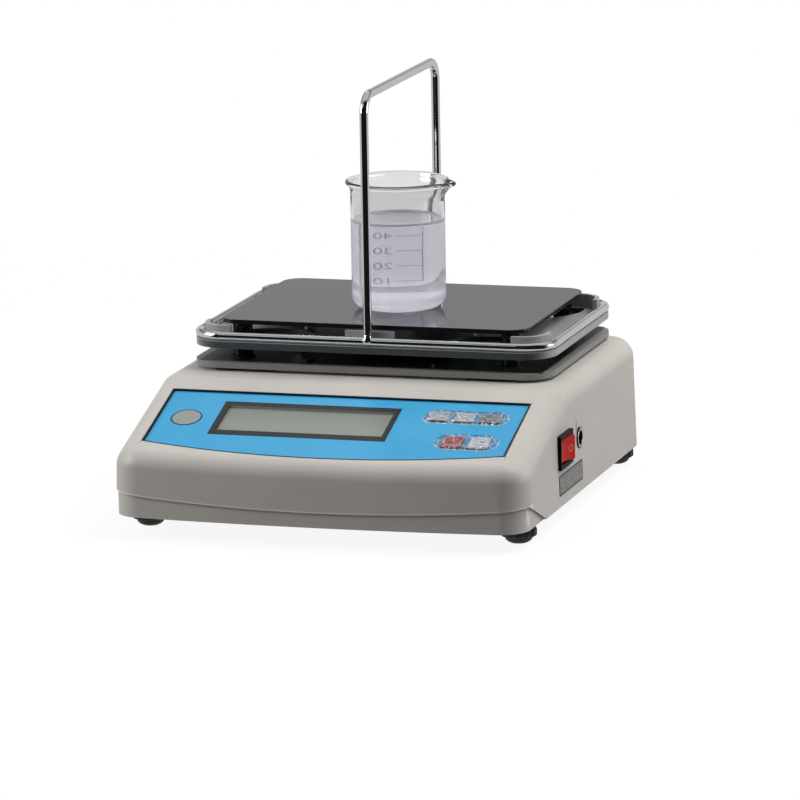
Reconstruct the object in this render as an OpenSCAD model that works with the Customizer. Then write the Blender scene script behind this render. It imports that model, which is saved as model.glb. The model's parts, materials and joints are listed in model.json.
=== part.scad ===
// Benchtop liquid density meter: a sloped plastic housing with a keypad and display, a load
// cell that carries a tray with a lift-off wire bail, and a fixed table for the beaker.
// The bench is at z = 0, the keypad faces -Y and the part stands centred on the origin.

/* [Housing] */
// Width of the housing across its foot
house_w = 190.6; // [184:0.1:215]
// Depth of the housing with the front bow
house_d = 212; // [204:1:240]
// Height of the flat deck above the bench
house_h = 59.6; // [57:0.1:69]
// Gap between the bench and the housing
ground_gap = 9; // [8:0.5:12]
// Wall thickness of the moulded shells
wall = 3; // [2.4:0.1:3.4]
// Radius of the upright corners
corner_r = 14; // [11:0.5:18]
// Radius of the edges round the deck and the slope
edge_r = 9; // [6:0.5:10]
// How far the front face bows out at its middle
front_bow = 4.5; // [2:0.5:8]
// How far the side walls lean in by the height of the deck
wall_lean = 1; // [0:0.1:2]
// Slope of the keypad face in degrees
panel_slope = 17.6; // [14:0.1:20]
// Height at which the slope would meet the front face
front_edge_h = 36.4; // [34:0.1:39]
// Height of the seam at the middle of the front
seam_mid_h = 15.6; // [14:0.1:17]
// Height of the seam at the front corners
seam_end_h = 19.8; // [18:0.1:22]
// Depth from the front to where the chin runs out under the sides
chin_d = 40; // [30:1:50]
// Step in from the upper shell to the lower shell
lip_step = 1.1; // [0.6:0.1:1.6]
// Thickness of the floor of the lower shell
floor_t = 2.4; // [2:0.1:3]
// Gap between fitted mouldings
fit_gap = 0.4; // [0.3:0.05:0.6]

/* [Control panel] */
// Width of the printed overlay
panel_w = 166.4; // [160:0.1:170]
// Depth of the overlay up the slope at its sides
panel_d = 47.6; // [46:0.1:50]
// How far the lower edge of the overlay bows down
panel_bow = 9; // [5:0.5:10]
// Distance up the slope to the lower corners of the overlay
panel_from_edge = 17.1; // [16:0.1:20]
// Depth of the overlay's face below the slope
panel_recess = 0.9; // [0.6:0.1:1.2]
// Thickness of the overlay
overlay_t = 0.6; // [0.4:0.1:0.8]
// Width of the display bezel
bezel_w = 82; // [78:0.5:84]
// Depth of the display bezel up the slope
bezel_d = 30; // [27:0.5:31]
// Width of the display window
view_w = 76.8; // [72:0.2:78]
// Depth of the display window up the slope
view_d = 21.8; // [18:0.2:23]
// Radius of the blank round inlay
inlay_r = 7.1; // [5:0.1:8]
// Width of the upper row keys
key_w = 9.4; // [8:0.1:10]
// Depth of the upper row keys up the slope
key_d = 7.8; // [7:0.1:8.4]
// Distance between the keys
key_pitch = 12; // [11.6:0.1:12.4]
// Width of the lower row keys
low_key_w = 9; // [8:0.1:9.6]
// Depth of the lower row keys up the slope
low_key_d = 10; // [9:0.1:10.4]
// Travel of a key
key_travel = 0.5; // [0.3:0.05:0.6]

/* [Weighing deck] */
// Distance from the origin back to the middle of the trays
deck_y = 40; // [38:0.5:44]
// Width of the lower tray
low_tray_w = 168; // [160:1:172]
// Depth of the lower tray
low_tray_d = 120; // [114:1:124]
// Height of the lower tray's foot rim
rim_foot_h = 1.4; // [1:0.1:2]
// Thickness of the lower tray's plate
low_tray_t = 2.6; // [2:0.1:3]
// Clear height between the two trays
tray_gap = 6.3; // [5.5:0.1:8]
// Thickness of the upper tray's rim
tray_rim_t = 3.2; // [2.6:0.1:4]
// Thickness of the upper tray's floor
tray_floor_t = 2.4; // [1.8:0.1:2.6]
// Radius of the windows in the upper tray
window_r = 21.5; // [19:0.5:22]
// Thickness of the ears and tabs of the upper tray
ear_t = 2; // [1.4:0.1:2.2]
// Height of the ears above the tray floor
ear_h = 6.4; // [5:0.1:6.6]
// Width of the tabs behind the feet of the bail
tab_w = 23; // [14:0.5:28]

/* [Wire frame] */
// Diameter of the chromed rod
rod_d = 4; // [3:0.1:4.6]
// Width of the ring between rod centres
ring_w = 166; // [162:0.5:168]
// Depth of the ring between rod centres
ring_d = 114; // [112:0.5:118]
// Corner radius of the ring at the rod's centre
ring_r = 14; // [12:0.5:18]
// Height of the bail above the ring between rod centres
bail_h = 110.9; // [90:0.1:130]
// Bend radius of the bail at the rod's centre
bail_r = 8.5; // [6:0.5:14]

/* [Table and beaker] */
// Width of the table plate
table_w = 144; // [130:1:150]
// Depth of the table plate
table_d = 106; // [100:1:106]
// Thickness of the table plate
table_t = 2; // [1.6:0.1:4]
// Corner radius of the table plate
table_r = 9; // [4:0.5:14]
// Clear height from the upper tray's floor to the table plate
table_clear = 7; // [6.8:0.1:10]
// Diameter of the table's legs
leg_d = 9; // [6:0.5:9.5]
// Height of the rubber pads under the legs
pad_h = 1.2; // [0.8:0.1:2]
// Outer diameter of the beaker
beaker_d = 43; // [38:0.5:46]
// Height of the beaker
beaker_h = 58.8; // [50:0.2:68]
// Wall thickness of the beaker
glass_t = 1.4; // [1:0.1:1.8]
// Distance of the beaker in front of the middle of the table
beaker_fwd = 7; // [0:0.5:12]

/* [Feet] */
// Diameter of the foot wheels
wheel_d = 16; // [15:0.5:18]
// Diameter of the foot studs
stud_d = 6; // [5:0.5:7]
// Running clearance of studs and pins, on the radius
run_gap = 0.05; // [0.02:0.01:0.08]
// Distance from the side walls in to the middle of the feet
foot_in = 10.3; // [8.5:0.1:16]
// Distance from the middle of the front in to the front feet
foot_front = 31.5; // [22:0.5:33]
// Distance from the rear wall in to the rear feet
foot_rear = 11; // [11:0.5:24]

/* [Side fittings] */
// Length of the switch bezel
switch_l = 21; // [20:0.5:24]
// Height of the switch bezel
switch_h = 15.4; // [14:0.2:17]
// Distance from the origin forward to the middle of the switch
switch_fwd = 33.2; // [30:0.2:36]
// Height of the middle of the switch and the power socket above the bench
switch_z = 33.4; // [31:0.2:34]
// Distance from the middle of the switch back to the power socket
socket_back = 26.4; // [20:0.2:30]
// Tilt of the rocker from level in degrees
rocker_tilt = 10; // [7:0.5:11]

/* [Weighing system] */
// Length of the load cell
cell_l = 100; // [90:1:110]
// Width of the load cell
cell_w = 22; // [18:0.5:26]
// Height of the load cell
cell_h = 22; // [20:0.5:24]
// Height of the block under the load cell's fixed end
mount_h = 6; // [5:0.1:7]
// Radius of the carrier's hub
hub_r = 14; // [10:0.5:16]
// Overload travel of the tray
pan_travel = 0.4; // [0.2:0.05:0.5]

/* [Hidden] */
$fn = 64;

eps = 0.01;
shell_fn = 40;
over = 30;

// Colours
abs_grey = [0.80, 0.78, 0.75];
panel_blue = [0.33, 0.66, 0.85];
tray_grey = [0.50, 0.51, 0.52];
chrome = [0.86, 0.87, 0.89];
black = [0.06, 0.06, 0.07];
board_green = [0.10, 0.38, 0.22];
alloy = [0.75, 0.76, 0.78];

// Housing
front_y = -house_d / 2;
rear_y = house_d / 2;
bow_r = (pow(house_w / 2, 2) + pow(front_bow, 2)) / (2 * front_bow);
slope_sin = sin(panel_slope);
slope_cos = cos(panel_slope);
slope_k = slope_cos * front_edge_h - slope_sin * front_y;
crown_r = corner_r - edge_r;
deck_crown_z = house_h - edge_r;
bow_steps = 6;
bow_reach = house_w / 2 - corner_r;
floor_z = ground_gap + floor_t;
lip_h = 11;
lip_t = 2;
seam_r = (pow(house_w / 2, 2) + pow(seam_end_h - seam_mid_h, 2)) / (2 * (seam_end_h - seam_mid_h));
chin_top_y = front_y + corner_r;

// Screw towers
tower_x = house_w / 2 - 10.3;
tower_front_in = 46;
tower_rear_in = 40;
tower_ys = [front_y + tower_front_in, rear_y - tower_rear_in];
tower_r = 4.4;
tower_top = floor_z + 7.6;
screw_r = 1.5;
screw_head_r = 2.8;
screw_head_h = 2.2;
screw_seat = 4.4;
screw_l = 12;

// Control panel, measured up the slope from the front edge
sheet_z = -panel_recess - overlay_t;
bezel_u = -14.9;
bezel_v = panel_from_edge + 24.5;
view_dv = 0.3;
inlay_in = 13.6;
inlay_u = inlay_in - panel_w / 2;
inlay_v = panel_from_edge + 23.4;
key_row_in = 26.7;
key_row_u = panel_w / 2 - key_row_in;
key_row_v = panel_from_edge + 33;
low_row_in = 20.5;
low_row_u = panel_w / 2 - low_row_in;
low_row_v = panel_from_edge + 11;
cover_l = 42;
cover_d = 12.6;
low_cover_l = 32;
low_cover_d = 15;
cover_t = 0.4;
cover_h = 1.6;
key_top_z = -0.15;
key_cap_h = 1.9;
stem_r = 1.7;
board_top_z = -wall - 4.4;
board_t = 1.6;
board_w = 158;
board_d = 44;
board_post_x = board_w / 2 - 4;
board_post_v = board_d / 2 - 4;
board_v = bezel_v - 1;
tact_h = 3;
tact_w = 6;
tact_bore_d = 1.4;
lcd_lip = 1;

// Main board, placed from the left wall and the front
main_board_w = 60;
main_board_d = 90;
main_board_x = 16.3 - house_w / 2;
main_board_y = front_y + 66;
standoff_in = 4;
standoff_h = 5;
standoff_r = 3;
chip_x = 19;
chip_y = 40;
chip_w = 18;
chip_t = 2.4;
header_x = 45;
header_y = 30;
header_w = 8;
header_l = 22;
header_h = 6;
smoother_x = 13;
smoother_y = 66;
smoother_pitch = 12;
smoother_r = 4;
smoother_h = 12;
regulator_x = 29;
regulator_y = 70;
regulator_w = 10;
regulator_d = 5;
regulator_h = 10;
ribbon_x = 21;
ribbon_w = 22;
ribbon_t = 0.8;
ribbon_up = 3.4;
ribbon_in = 14;
ribbon_drop = 8;
ribbon_back = 10;
ribbon_rise = 3;
board_screw_head_r = 2.6;
board_screw_head_h = 1.8;
board_screw_r = 1.15;
board_screw_l = 5;

// Ribs and drain slots in the floor
rib_h = 6;
rib_t = 1.6;
rib_x = 16;
rib_w = 62;
rib_in = 16;
rib_front_y = front_y + 68;
rib_rear_y = rear_y - 8;
board_rib_in = 9;
board_rib_back = 12;
board_rib_w = 56;
slot_y = front_y + 48;
slot_pitch = 7;
slot_w = 2.4;
slot_l = 26;

// Heights of the deck, from the bench up
low_tray_z = house_h + rim_foot_h;
low_tray_top = low_tray_z + low_tray_t;
tray_z = low_tray_top + tray_gap;
tray_top = tray_z + tray_rim_t;
tray_floor_z = tray_top - tray_floor_t;
ring_z = tray_top + rod_d / 2;
table_z = tray_top + table_clear;
table_top = table_z + table_t;
bail_z = ring_z + bail_h;

// Trays and table
low_tray_r = 14;
rim_inset = 2.5;
clip_slots = [[-57, 30], [57, 23]];
side_slot_y = 77.5;
side_slot_l = 13;
pad_r = leg_d / 2 + 1;
leg_x = table_w / 2 - 9;
leg_y = table_d / 2 - 9;
window_x = leg_x - 12;
window_y = leg_y + 1;
tray_w = ring_w + rod_d - 1;
tray_d = ring_d + rod_d + 1;
ear_gap = 0.4;
ear_w = ring_w - rod_d - 2 * ear_gap;
ear_d = ring_d - rod_d - 2 * ear_gap;
ear_reach = 15;
seat_recess = 0.6;
leg_pass = 1.5;
deck_screw_x = 30;
deck_screw_y = 50;

// Weighing system
cell_y0 = deck_y - cell_l / 2;
cell_z = floor_z + mount_h;
cell_top = cell_z + cell_h;
cell_end = 22;
cell_bore_r = 7;
cell_bore_gap = 22;
arm_pad_h = 1;
arm_t = 4;
spider_w = 92;
spider_d = 60;
spider_t = 4.4;
tray_screw_x = 38;
tray_screw_y = 22;

// Feet
wheel_gap = 2.1;
wheel_h = ground_gap - wheel_gap;
wheel_bore_z = 1.6;
sole_r = 3.6;
grip_z = sole_r + 0.2;
grip_step = 0.4;
grip_flutes = 20;
foot_x = house_w / 2 - foot_in;
stud_z = wheel_bore_z + 0.2;
boss_r = stud_d / 2 + 3;
boss_h = 15;
stud_l = boss_h + ground_gap - stud_z;
foot_front_y = front_y + foot_front;
foot_rear_y = rear_y - foot_rear;
feet = [[-foot_x, foot_front_y], [foot_x, foot_front_y], [-foot_x, foot_rear_y], [foot_x, foot_rear_y]];

// Side fittings
switch_y = -switch_fwd;
socket_y = switch_y + socket_back;
side_x = house_w / 2 - wall_lean;
bezel_t = 2;
switch_body_l = switch_l - 2;
switch_body_h = switch_h - 2.4;
switch_body_t = 15;
rocker_r = switch_l / 2 - 1.3;
rocker_h = switch_h - 4.8;
rocker_x = side_x - 2;
rocker_gap = 0.25;
rocker_face = 2.9;
pivot_r = 1.2;
pivot_l = 1.4;
socket_hole_r = 2.75;
socket_barrel_r = 3.9;
socket_rim_r = 4.6;
socket_rim_t = 1;
socket_l = 13;
groove_w = 1.4;
groove_h = 5.4;

// Y of the front face at a distance x from the middle
function front_at(x) = front_y + bow_r - sqrt(pow(bow_r, 2) - x * x);

// How far a wall has leaned in at height z
function lean(z) = wall_lean * (z - ground_gap) / (deck_crown_z - ground_gap);

// Height of the centre of a crown that touches the slope, from the Y of its centre
function slope_crown_z(y) = (slope_k - crown_r * slope_sin - edge_r + slope_sin * y) / slope_cos;

// Y of the centre of the crowns where the slope turns into the deck
deck_break_y = (slope_cos * deck_crown_z + crown_r * slope_sin + edge_r - slope_k) / slope_sin;

module at_slope(u, v, h = 0) {
    translate([0, front_y, front_edge_h]) rotate([panel_slope, 0, 0]) translate([u, v, h]) children();
}

module rounded_plate(w, d, h, r) {
    linear_extrude(h) rounded_outline(w, d, r);
}

module rounded_outline(w, d, r) {
    union() {
        square([w - 2 * r, d], center = true);
        square([w, d - 2 * r], center = true);
        for (x = [-1, 1], y = [-1, 1])
            translate([x * (w / 2 - r), y * (d / 2 - r)]) circle(r);
    }
}

// Plan of the housing at its foot, moved in by a distance
module plan_outline(inset) {
    hull() {
        for (i = [0:bow_steps]) {
            x = bow_reach * (2 * i / bow_steps - 1);
            translate([x, front_at(x) + corner_r]) circle(corner_r - inset, $fn = shell_fn);
        }
        for (x = [-1, 1])
            translate([x * bow_reach, rear_y - corner_r]) circle(corner_r - inset, $fn = shell_fn);
    }
}

// A flat round crown with a rolled edge, which the hull of the housing is stretched over
module crown(inset) {
    rotate_extrude($fn = shell_fn) {
        translate([crown_r, 0]) intersection() {
            circle(edge_r - inset, $fn = shell_fn);
            translate([0, -edge_r]) square([edge_r, 2 * edge_r]);
        }
        translate([0, inset - edge_r]) square([crown_r, 2 * (edge_r - inset)]);
    }
}

// The whole outer form of the housing, moved in by a distance
module housing_form(inset, foot_z) {
    hull() {
        for (i = [0:bow_steps]) {
            x = bow_reach * (2 * i / bow_steps - 1);
            y = front_at(x) + corner_r;
            z = slope_crown_z(y);
            translate([x * (1 - lean(z) / bow_reach), y + lean(z), z]) crown(inset);
            translate([x, y, foot_z]) cylinder(r = corner_r - inset, h = eps, $fn = shell_fn);
        }
        for (x = [-1, 1]) {
            translate([x * (bow_reach - wall_lean), deck_break_y, deck_crown_z]) crown(inset);
            translate([x * (bow_reach - wall_lean), rear_y - corner_r - wall_lean, deck_crown_z])
                crown(inset);
            translate([x * bow_reach, rear_y - corner_r, foot_z])
                cylinder(r = corner_r - inset, h = eps, $fn = shell_fn);
        }
    }
}

// The space under the seam, which the chin of the lower shell fills
module seam_zone(rise) {
    intersection() {
        translate([0, rear_y, rise]) rotate([90, 0, 0]) linear_extrude(house_d + 2 * corner_r)
            difference() {
                translate([-house_w, ground_gap - 2]) square([2 * house_w, over]);
                translate([0, seam_mid_h + seam_r]) circle(seam_r, $fn = 1440);
            }
        translate([-house_w, 0, rise]) rotate([90, 0, 90]) linear_extrude(2 * house_w) polygon([
            [front_y - corner_r, ground_gap - 2],
            [front_y - corner_r, ground_gap + over],
            [chin_top_y, ground_gap + over],
            [chin_top_y, seam_end_h],
            [front_y + chin_d, ground_gap],
            [front_y + chin_d, ground_gap - 2]
        ]);
    }
}

module at_towers() {
    for (x = [-tower_x, tower_x], y = tower_ys) translate([x, y, 0]) children();
}

module at_standoffs() {
    for (x = [standoff_in, main_board_w - standoff_in], y = [standoff_in, main_board_d - standoff_in])
        translate([main_board_x + x, main_board_y + y, 0]) children();
}

module at_deck_screws() {
    for (x = [-deck_screw_x, deck_screw_x], y = [-deck_screw_y, deck_screw_y])
        translate([x, deck_y + y, 0]) children();
}

module at_cell_end(y0) {
    for (y = [6, cell_end - 6]) translate([0, y0 + y, 0]) children();
}

// Outline of the overlay, with its bowed lower edge
module overlay_outline(gap) {
    r = (pow(panel_w / 2, 2) + pow(panel_bow, 2)) / (2 * panel_bow);
    intersection() {
        translate([-panel_w / 2 + gap, panel_from_edge - panel_bow + gap])
            square([panel_w - 2 * gap, panel_d + panel_bow - 2 * gap]);
        translate([0, panel_from_edge - panel_bow + r]) circle(r - gap, $fn = 720);
    }
}

module capsule_outline(l, d) {
    union() {
        square([l - d, d], center = true);
        for (x = [-1, 1]) translate([x * (l - d) / 2, 0]) circle(d / 2);
    }
}

module at_upper_keys() {
    for (i = [-1:1]) at_slope(key_row_u + i * key_pitch, key_row_v) children();
}

module at_board_posts() {
    for (x = [-board_post_x, board_post_x], v = [-board_post_v, board_post_v])
        at_slope(x, board_v + v) children();
}

module at_lower_keys() {
    for (i = [-0.5, 0.5]) at_slope(low_row_u + i * key_pitch, low_row_v) children();
}

/* Housing */

module lower_housing() {
    color(abs_grey) difference() {
        union() {
            translate([0, 0, ground_gap]) linear_extrude(floor_t) plan_outline(wall + fit_gap);
            translate([0, 0, ground_gap]) linear_extrude(lip_h) difference() {
                plan_outline(wall + fit_gap);
                plan_outline(wall + fit_gap + lip_t);
            }
            intersection() {
                seam_zone(0);
                translate([0, 0, ground_gap]) linear_extrude(over) difference() {
                    plan_outline(lip_step);
                    plan_outline(wall + fit_gap + lip_t / 2);
                }
            }
            intersection() {
                for (f = feet) translate([f[0], f[1], ground_gap]) cylinder(r = boss_r, h = boss_h);
                translate([0, 0, ground_gap]) linear_extrude(over) plan_outline(wall + 2 * fit_gap);
            }
            at_towers() translate([0, 0, ground_gap])
                cylinder(r = tower_r, h = tower_top - ground_gap - fit_gap);
            at_standoffs() translate([0, 0, floor_z - eps]) cylinder(r = standoff_r, h = standoff_h);
            floor_ribs();
        }
        for (f = feet) translate([f[0], f[1], ground_gap - 1])
            cylinder(r = stud_d / 2 + run_gap, h = boss_h + 2);
        at_towers() {
            translate([0, 0, ground_gap - 1]) cylinder(r = screw_head_r + 0.4, h = screw_seat + 1);
            translate([0, 0, ground_gap]) cylinder(r = screw_r + 0.2, h = over);
        }
        at_standoffs() translate([0, 0, floor_z]) cylinder(r = 1.2, h = over);
        at_cell_end(cell_y0) translate([0, 0, ground_gap - 1]) cylinder(r = 2.2, h = floor_t + 2);
        for (i = [-4:4]) translate([i * slot_pitch, slot_y, ground_gap - 1]) linear_extrude(floor_t + 2)
            rounded_outline(slot_w, slot_l, slot_w / 2 - 0.05);
    }
}

// Stiffening ribs on the inside of the floor, clear of what stands on it
module floor_ribs() {
    for (y = [rib_front_y, rib_rear_y]) translate([rib_x, y, floor_z - eps]) cube([rib_w, rib_t, rib_h]);
    for (x = [rib_x + rib_in, rib_x + rib_w - rib_in]) translate([x, rib_front_y, floor_z - eps])
        cube([rib_t, rib_rear_y - rib_front_y, rib_h]);
    translate([main_board_x + board_rib_in, main_board_y + main_board_d + board_rib_back, floor_z - eps])
        cube([board_rib_w, rib_t, rib_h]);
}

module upper_housing() {
    color(abs_grey) difference() {
        union() {
            difference() {
                housing_form(0, ground_gap);
                housing_form(wall, ground_gap - eps);
            }
            intersection() {
                housing_form(wall / 2, ground_gap);
                at_towers() translate([0, 0, tower_top]) cylinder(r = tower_r, h = house_h);
            }
            at_board_posts() translate([0, 0, board_top_z]) cylinder(r = 3.4, h = sheet_z - board_top_z);
        }
        seam_zone(fit_gap / 2);
        at_slope(0, 0, sheet_z) linear_extrude(over) overlay_outline(0);
        at_slope(bezel_u, bezel_v, sheet_z - over / 2) linear_extrude(over)
            square([bezel_w + fit_gap, bezel_d + fit_gap], center = true);
        at_upper_keys() translate([0, 0, -over / 2]) linear_extrude(over)
            square([key_w + 2 * fit_gap, key_d + 2 * fit_gap], center = true);
        at_lower_keys() translate([0, 0, -over / 2]) linear_extrude(over)
            square([low_key_w + 2 * fit_gap, low_key_d + 2 * fit_gap], center = true);
        at_towers() translate([0, 0, tower_top - 1])
            cylinder(r = screw_r + 0.05, h = screw_l - screw_seat + 2);
        at_board_posts() translate([0, 0, board_top_z - 1]) cylinder(r = 1.2, h = 5);
        translate([0, deck_y, house_h - over / 2]) cylinder(r = hub_r + 4, h = over);
        at_deck_screws() translate([0, 0, house_h - over / 2]) cylinder(r = screw_r + 0.05, h = over);
        switch_opening();
    }
}

// Flat seats and holes for the switch and the power socket, and the drain groove above them
module switch_opening() {
    translate([side_x, switch_y, switch_z]) {
        translate([0, -switch_l / 2, -switch_h / 2]) cube([over, switch_l, switch_h]);
        translate([-over / 2, -(switch_body_l + fit_gap) / 2, -(switch_body_h + fit_gap) / 2])
            cube([over, switch_body_l + fit_gap, switch_body_h + fit_gap]);
    }
    translate([side_x, socket_y, switch_z]) rotate([0, 90, 0]) {
        cylinder(r = socket_rim_r + 0.2, h = over);
        translate([0, 0, -over / 2]) cylinder(r = socket_barrel_r + 0.1, h = over);
    }
    translate([side_x - 0.2, socket_y - 5, switch_z + 3.4]) cube([over, groove_w, groove_h]);
}

module housing_screws() {
    color(alloy) at_towers() {
        translate([0, 0, ground_gap + screw_seat - screw_head_h])
            cylinder(r = screw_head_r, h = screw_head_h);
        translate([0, 0, ground_gap + screw_seat]) cylinder(r = screw_r, h = screw_l);
    }
}

/* Control panel */

module control_overlay() {
    color(panel_blue) difference() {
        at_slope(0, 0, sheet_z) linear_extrude(overlay_t) overlay_outline(0.2);
        at_slope(bezel_u, bezel_v, -over / 2) linear_extrude(over)
            square([bezel_w, bezel_d], center = true);
        at_slope(inlay_u, inlay_v, -over / 2) cylinder(r = inlay_r + 0.1, h = over);
        at_upper_keys() translate([0, 0, -over / 2]) linear_extrude(over)
            square([key_w + 2 * fit_gap, key_d + 2 * fit_gap], center = true);
        at_lower_keys() translate([0, 0, -over / 2]) linear_extrude(over)
            square([low_key_w + 2 * fit_gap, low_key_d + 2 * fit_gap], center = true);
    }
}

module blank_inlay() {
    color([0.72, 0.72, 0.71]) at_slope(inlay_u, inlay_v, sheet_z)
        cylinder(r = inlay_r, h = overlay_t + 0.1);
}

module display_bezel() {
    color([0.32, 0.32, 0.33]) at_slope(bezel_u, bezel_v) difference() {
        translate([0, 0, board_top_z]) linear_extrude(-panel_recess - board_top_z)
            square([bezel_w - 0.2, bezel_d - 0.2], center = true);
        translate([0, view_dv, -over / 2]) linear_extrude(over) square([view_w, view_d], center = true);
        translate([0, view_dv, board_top_z - 1]) linear_extrude(-panel_recess - lcd_lip - board_top_z + 1)
            square([view_w + 2, view_d + 2], center = true);
    }
}

module display_panel() {
    color([0.58, 0.62, 0.58]) at_slope(bezel_u, bezel_v) translate([0, view_dv, board_top_z])
        linear_extrude(-panel_recess - lcd_lip - board_top_z)
            square([view_w + 1.8, view_d + 1.8], center = true);
}

// A clear domed window over a row of keys, standing on the overlay
module key_cover(l, d) {
    difference() {
        translate([0, 0, -panel_recess]) cover_dome(l, d, cover_h);
        translate([0, 0, -panel_recess - eps])
            cover_dome(l - 2 * cover_t, d - 2 * cover_t, cover_h - cover_t);
    }
}

module cover_dome(l, d, h) {
    step = h / 2;
    linear_extrude(step) capsule_outline(l, d);
    translate([0, 0, step - eps]) linear_extrude(step + eps) capsule_outline(l - step, d - step);
}

module upper_key_cover() {
    color([0.9, 0.95, 1, 0.4]) at_slope(key_row_u, key_row_v) key_cover(cover_l, cover_d);
}

module lower_key_cover() {
    color([0.9, 0.95, 1, 0.4]) at_slope(low_row_u, low_row_v) key_cover(low_cover_l, low_cover_d);
}

// A key cap with the stem that reaches into its switch
module key(w, d) {
    stem_end = board_top_z + tact_h - tact_bore_d + key_travel + 0.2;
    translate([0, 0, key_top_z - key_cap_h]) rounded_plate(w, d, key_cap_h, 0.6);
    translate([0, 0, stem_end]) cylinder(r = stem_r, h = key_top_z - key_cap_h - stem_end + eps);
}

module key_left() {
    color([0.82, 0.82, 0.83]) at_slope(key_row_u - key_pitch, key_row_v) key(key_w, key_d);
}

module key_middle() {
    color([0.82, 0.82, 0.83]) at_slope(key_row_u, key_row_v) key(key_w, key_d);
}

module key_right() {
    color([0.62, 0.63, 0.66]) at_slope(key_row_u + key_pitch, key_row_v) key(key_w, key_d);
}

module key_red() {
    color([0.78, 0.25, 0.22]) at_slope(low_row_u - key_pitch / 2, low_row_v) key(low_key_w, low_key_d);
}

module key_grey() {
    color([0.82, 0.82, 0.83]) at_slope(low_row_u + key_pitch / 2, low_row_v) key(low_key_w, low_key_d);
}

module key_board() {
    color(board_green) difference() {
        at_slope(0, board_v, board_top_z - board_t) linear_extrude(board_t)
            square([board_w, board_d], center = true);
        at_board_posts() translate([0, 0, board_top_z - board_t - 1]) cylinder(r = 1.6, h = board_t + 2);
    }
}

module tact_switches() {
    color(black) {
        at_upper_keys() tact_switch();
        at_lower_keys() tact_switch();
    }
}

module tact_switch() {
    translate([0, 0, board_top_z]) difference() {
        linear_extrude(tact_h) square(tact_w, center = true);
        translate([0, 0, tact_h - tact_bore_d]) cylinder(r = stem_r + 0.1, h = tact_bore_d + 1);
    }
}

/* Electronics */

module main_board() {
    color(board_green) difference() {
        translate([main_board_x, main_board_y, floor_z + standoff_h])
            cube([main_board_w, main_board_d, board_t]);
        at_standoffs() translate([0, 0, floor_z]) cylinder(r = screw_r + 0.1, h = over);
    }
}

module board_parts() {
    color(black) translate([main_board_x, main_board_y, floor_z + standoff_h + board_t]) {
        translate([chip_x, chip_y, 0]) cube([chip_w, chip_w, chip_t]);
        translate([header_x, header_y, 0]) cube([header_w, header_l, header_h]);
        for (i = [0, 1]) translate([smoother_x, smoother_y + i * smoother_pitch, 0])
            cylinder(r = smoother_r, h = smoother_h);
        translate([regulator_x, regulator_y, 0]) cube([regulator_w, regulator_d, regulator_h]);
    }
}

module ribbon_cable() {
    t = ribbon_t;
    top_v = board_v + ribbon_up;
    top_y = front_y + top_v * slope_cos - (board_top_z - board_t) * slope_sin;
    top_z = front_edge_h + top_v * slope_sin + (board_top_z - board_t) * slope_cos;
    low_z = floor_z + standoff_h + board_t;
    end_y = main_board_y + ribbon_in;
    run_z = low_z + ribbon_rise;
    bend_y = top_y + 2;
    bend_z = low_z + ribbon_drop;
    color([0.75, 0.75, 0.78]) translate([main_board_x + ribbon_x, 0, 0]) rotate([90, 0, 90])
        linear_extrude(ribbon_w) polygon([
            [top_y, top_z],
            [bend_y, bend_z],
            [top_y + ribbon_back, run_z + t],
            [end_y, run_z + t],
            [end_y, low_z],
            [end_y - t, low_z],
            [end_y - t, run_z],
            [top_y + ribbon_back, run_z],
            [bend_y - t, bend_z - t],
            [top_y - t, top_z - t * slope_sin]
        ]);
}

module board_screws() {
    color(alloy) {
        at_standoffs() translate([0, 0, floor_z + standoff_h + board_t]) board_screw();
        at_board_posts() translate([0, 0, board_top_z - board_t]) rotate([180, 0, 0]) board_screw();
    }
}

module board_screw() {
    cylinder(r = board_screw_head_r, h = board_screw_head_h);
    translate([0, 0, -board_screw_l]) cylinder(r = board_screw_r, h = board_screw_l + eps);
}

/* Weighing system */

module load_cell() {
    color(alloy) difference() {
        translate([-cell_w / 2, cell_y0, cell_z]) cube([cell_w, cell_l, cell_h]);
        for (y = [-1, 1]) translate([-cell_w, deck_y + y * cell_bore_gap / 2, cell_z + cell_h / 2])
            rotate([0, 90, 0]) cylinder(r = cell_bore_r, h = 2 * cell_w);
        translate([-cell_w, deck_y - cell_bore_gap / 2, cell_z + cell_h / 2 - 2])
            cube([2 * cell_w, cell_bore_gap, 4]);
        at_cell_end(cell_y0) translate([0, 0, cell_z - 1]) cylinder(r = 2, h = 13);
        at_cell_end(cell_y0 + cell_l - cell_end) translate([0, 0, cell_top - 12]) cylinder(r = 2, h = 13);
    }
}

module cell_mount() {
    color(alloy) difference() {
        translate([-cell_w / 2 - 1, cell_y0, floor_z]) cube([cell_w + 2, cell_end, mount_h]);
        at_cell_end(cell_y0) translate([0, 0, floor_z - 1]) cylinder(r = 2.2, h = mount_h + 2);
    }
}

module cell_screws() {
    color(black) at_cell_end(cell_y0) {
        translate([0, 0, ground_gap - 2.2]) cylinder(r = 3.6, h = 2.2);
        translate([0, 0, ground_gap - eps]) cylinder(r = 1.95, h = floor_t + mount_h + 10);
    }
}

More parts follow.
